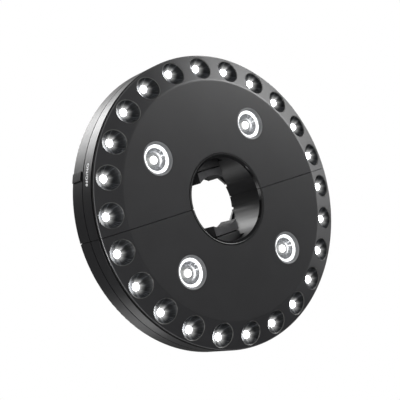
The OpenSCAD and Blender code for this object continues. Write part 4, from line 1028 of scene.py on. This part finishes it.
class POLELIGHT_OT_studio(bpy.types.Operator):
    """Sets the camera, the pale floor and the soft studio lights"""
    bl_idname = "polelight.studio"
    bl_label = "Studio"

    def execute(self, context):
        scene = context.scene
        scene.view_settings.view_transform = "Standard"
        rest_hands()
        bpy.ops.object.camera_add(location=CAMERA_PLACE)
        camera = bpy.context.object
        camera.name = "photo_camera"
        right, up = Vector(CAMERA_RIGHT), Vector(CAMERA_UP)
        camera.rotation_euler = Matrix((right, up, right.cross(up))).transposed().to_euler()
        camera.data.lens = CAMERA_LENS
        camera.data.sensor_width = 36
        camera.data.clip_start = 0.01
        scene.camera = camera
        rest_hands()
        bpy.ops.mesh.primitive_plane_add(size=6, location=(0, 0, FLOOR_Z))
        floor = added("studio_floor")
        mat, tree, shader = finish_named("pale_studio_paper")
        place = node(tree, "ShaderNodeTexCoord")
        fibre = node(tree, "ShaderNodeTexNoise", Vector=(place, "Object"), Scale=60.0, Detail=2.0)
        tint = ramp(tree, (fibre, "Fac"), [(0.3, linear("#e9e9ea")), (0.7, linear("#eeeeef"))])
        plugged(shader, Base_Color=(tint, "Color"), Roughness=0.9)
        floor.data.materials.append(mat)
        world = bpy.data.worlds.new("white_studio")
        world.use_nodes = True
        scene.world = world
        tree = world.node_tree
        tree.nodes.clear()
        seen = node(tree, "ShaderNodeLightPath")
        fill = node(tree, "ShaderNodeBackground", Color=linear("#ffffff"), Strength=0.1)
        sheet = node(tree, "ShaderNodeBackground", Color=linear("#ffffff"), Strength=1.0)
        both = node(tree, "ShaderNodeMixShader", i0=(seen, "Is Camera Ray"), i1=(fill, "Background"),
                    i2=(sheet, "Background"))
        node(tree, "ShaderNodeOutputWorld", Surface=(both, "Shader"))
        for name, way, size, power in SOFT_LIGHTS:
            place = Vector([LIGHT_REACH * c for c in way])
            rest_hands()
            bpy.ops.object.light_add(type="AREA", location=place)
            light = bpy.context.object
            light.name = name
            light.data.shape = "RECTANGLE"
            light.data.size, light.data.size_y = size
            light.data.energy = power
            light.rotation_euler = place.to_track_quat("Z", "Y").to_euler()
        return {"FINISHED"}


# Layout


class PoleLightLook(bpy.types.PropertyGroup):
    shell_colour: bpy.props.FloatVectorProperty(
        name="Shell colour", description="Charcoal of the moulded covers", subtype="COLOR", size=4, min=0, max=1,
        default=linear("#2b2b2d"))
    shell_roughness: bpy.props.FloatProperty(
        name="Shell roughness", description="How satin the moulded covers are", default=0.34, min=0.1, max=0.9,
        subtype="FACTOR")
    light_power: bpy.props.FloatProperty(
        name="Light power", description="Glow of the small lights and the chips", default=16.0, min=0, max=100)
    lettering_height: bpy.props.FloatProperty(
        name="Lettering height", description="Height of the wording beside the button, in millimetres", default=2.75,
        min=1, max=4)


STEPS = ("studio", "face_shells", "rear_shells", "ring_lights", "large_lamps", "pole_jaws", "power_button",
         "back_fittings", "inner_parts")


class POLELIGHT_PT_panel(bpy.types.Panel):
    bl_idname = "POLELIGHT_PT_panel"
    bl_label = "Pole light"
    bl_space_type = "VIEW_3D"
    bl_region_type = "UI"
    bl_category = "Pole light"

    def draw(self, context):
        look = context.scene.pole_light
        for key in ("shell_colour", "shell_roughness", "light_power", "lettering_height"):
            self.layout.prop(look, key)
        for step in STEPS:
            self.layout.operator("polelight." + step)


CLASSES = (PoleLightLook, POLELIGHT_OT_studio, POLELIGHT_OT_face_shells, POLELIGHT_OT_rear_shells,
           POLELIGHT_OT_ring_lights, POLELIGHT_OT_large_lamps, POLELIGHT_OT_pole_jaws, POLELIGHT_OT_power_button,
           POLELIGHT_OT_back_fittings, POLELIGHT_OT_inner_parts, POLELIGHT_PT_panel)


def register():
    for cls in CLASSES:
        bpy.utils.register_class(cls)
    bpy.types.Scene.pole_light = bpy.props.PointerProperty(type=PoleLightLook)


def unregister():
    del bpy.types.Scene.pole_light
    for cls in reversed(CLASSES):
        bpy.utils.unregister_class(cls)


def main():
    register()
    make_finishes(bpy.context.scene.pole_light)
    for step in STEPS:
        getattr(bpy.ops.polelight, step)()
    rest_hands()


if __name__ == "__main__":
    main()
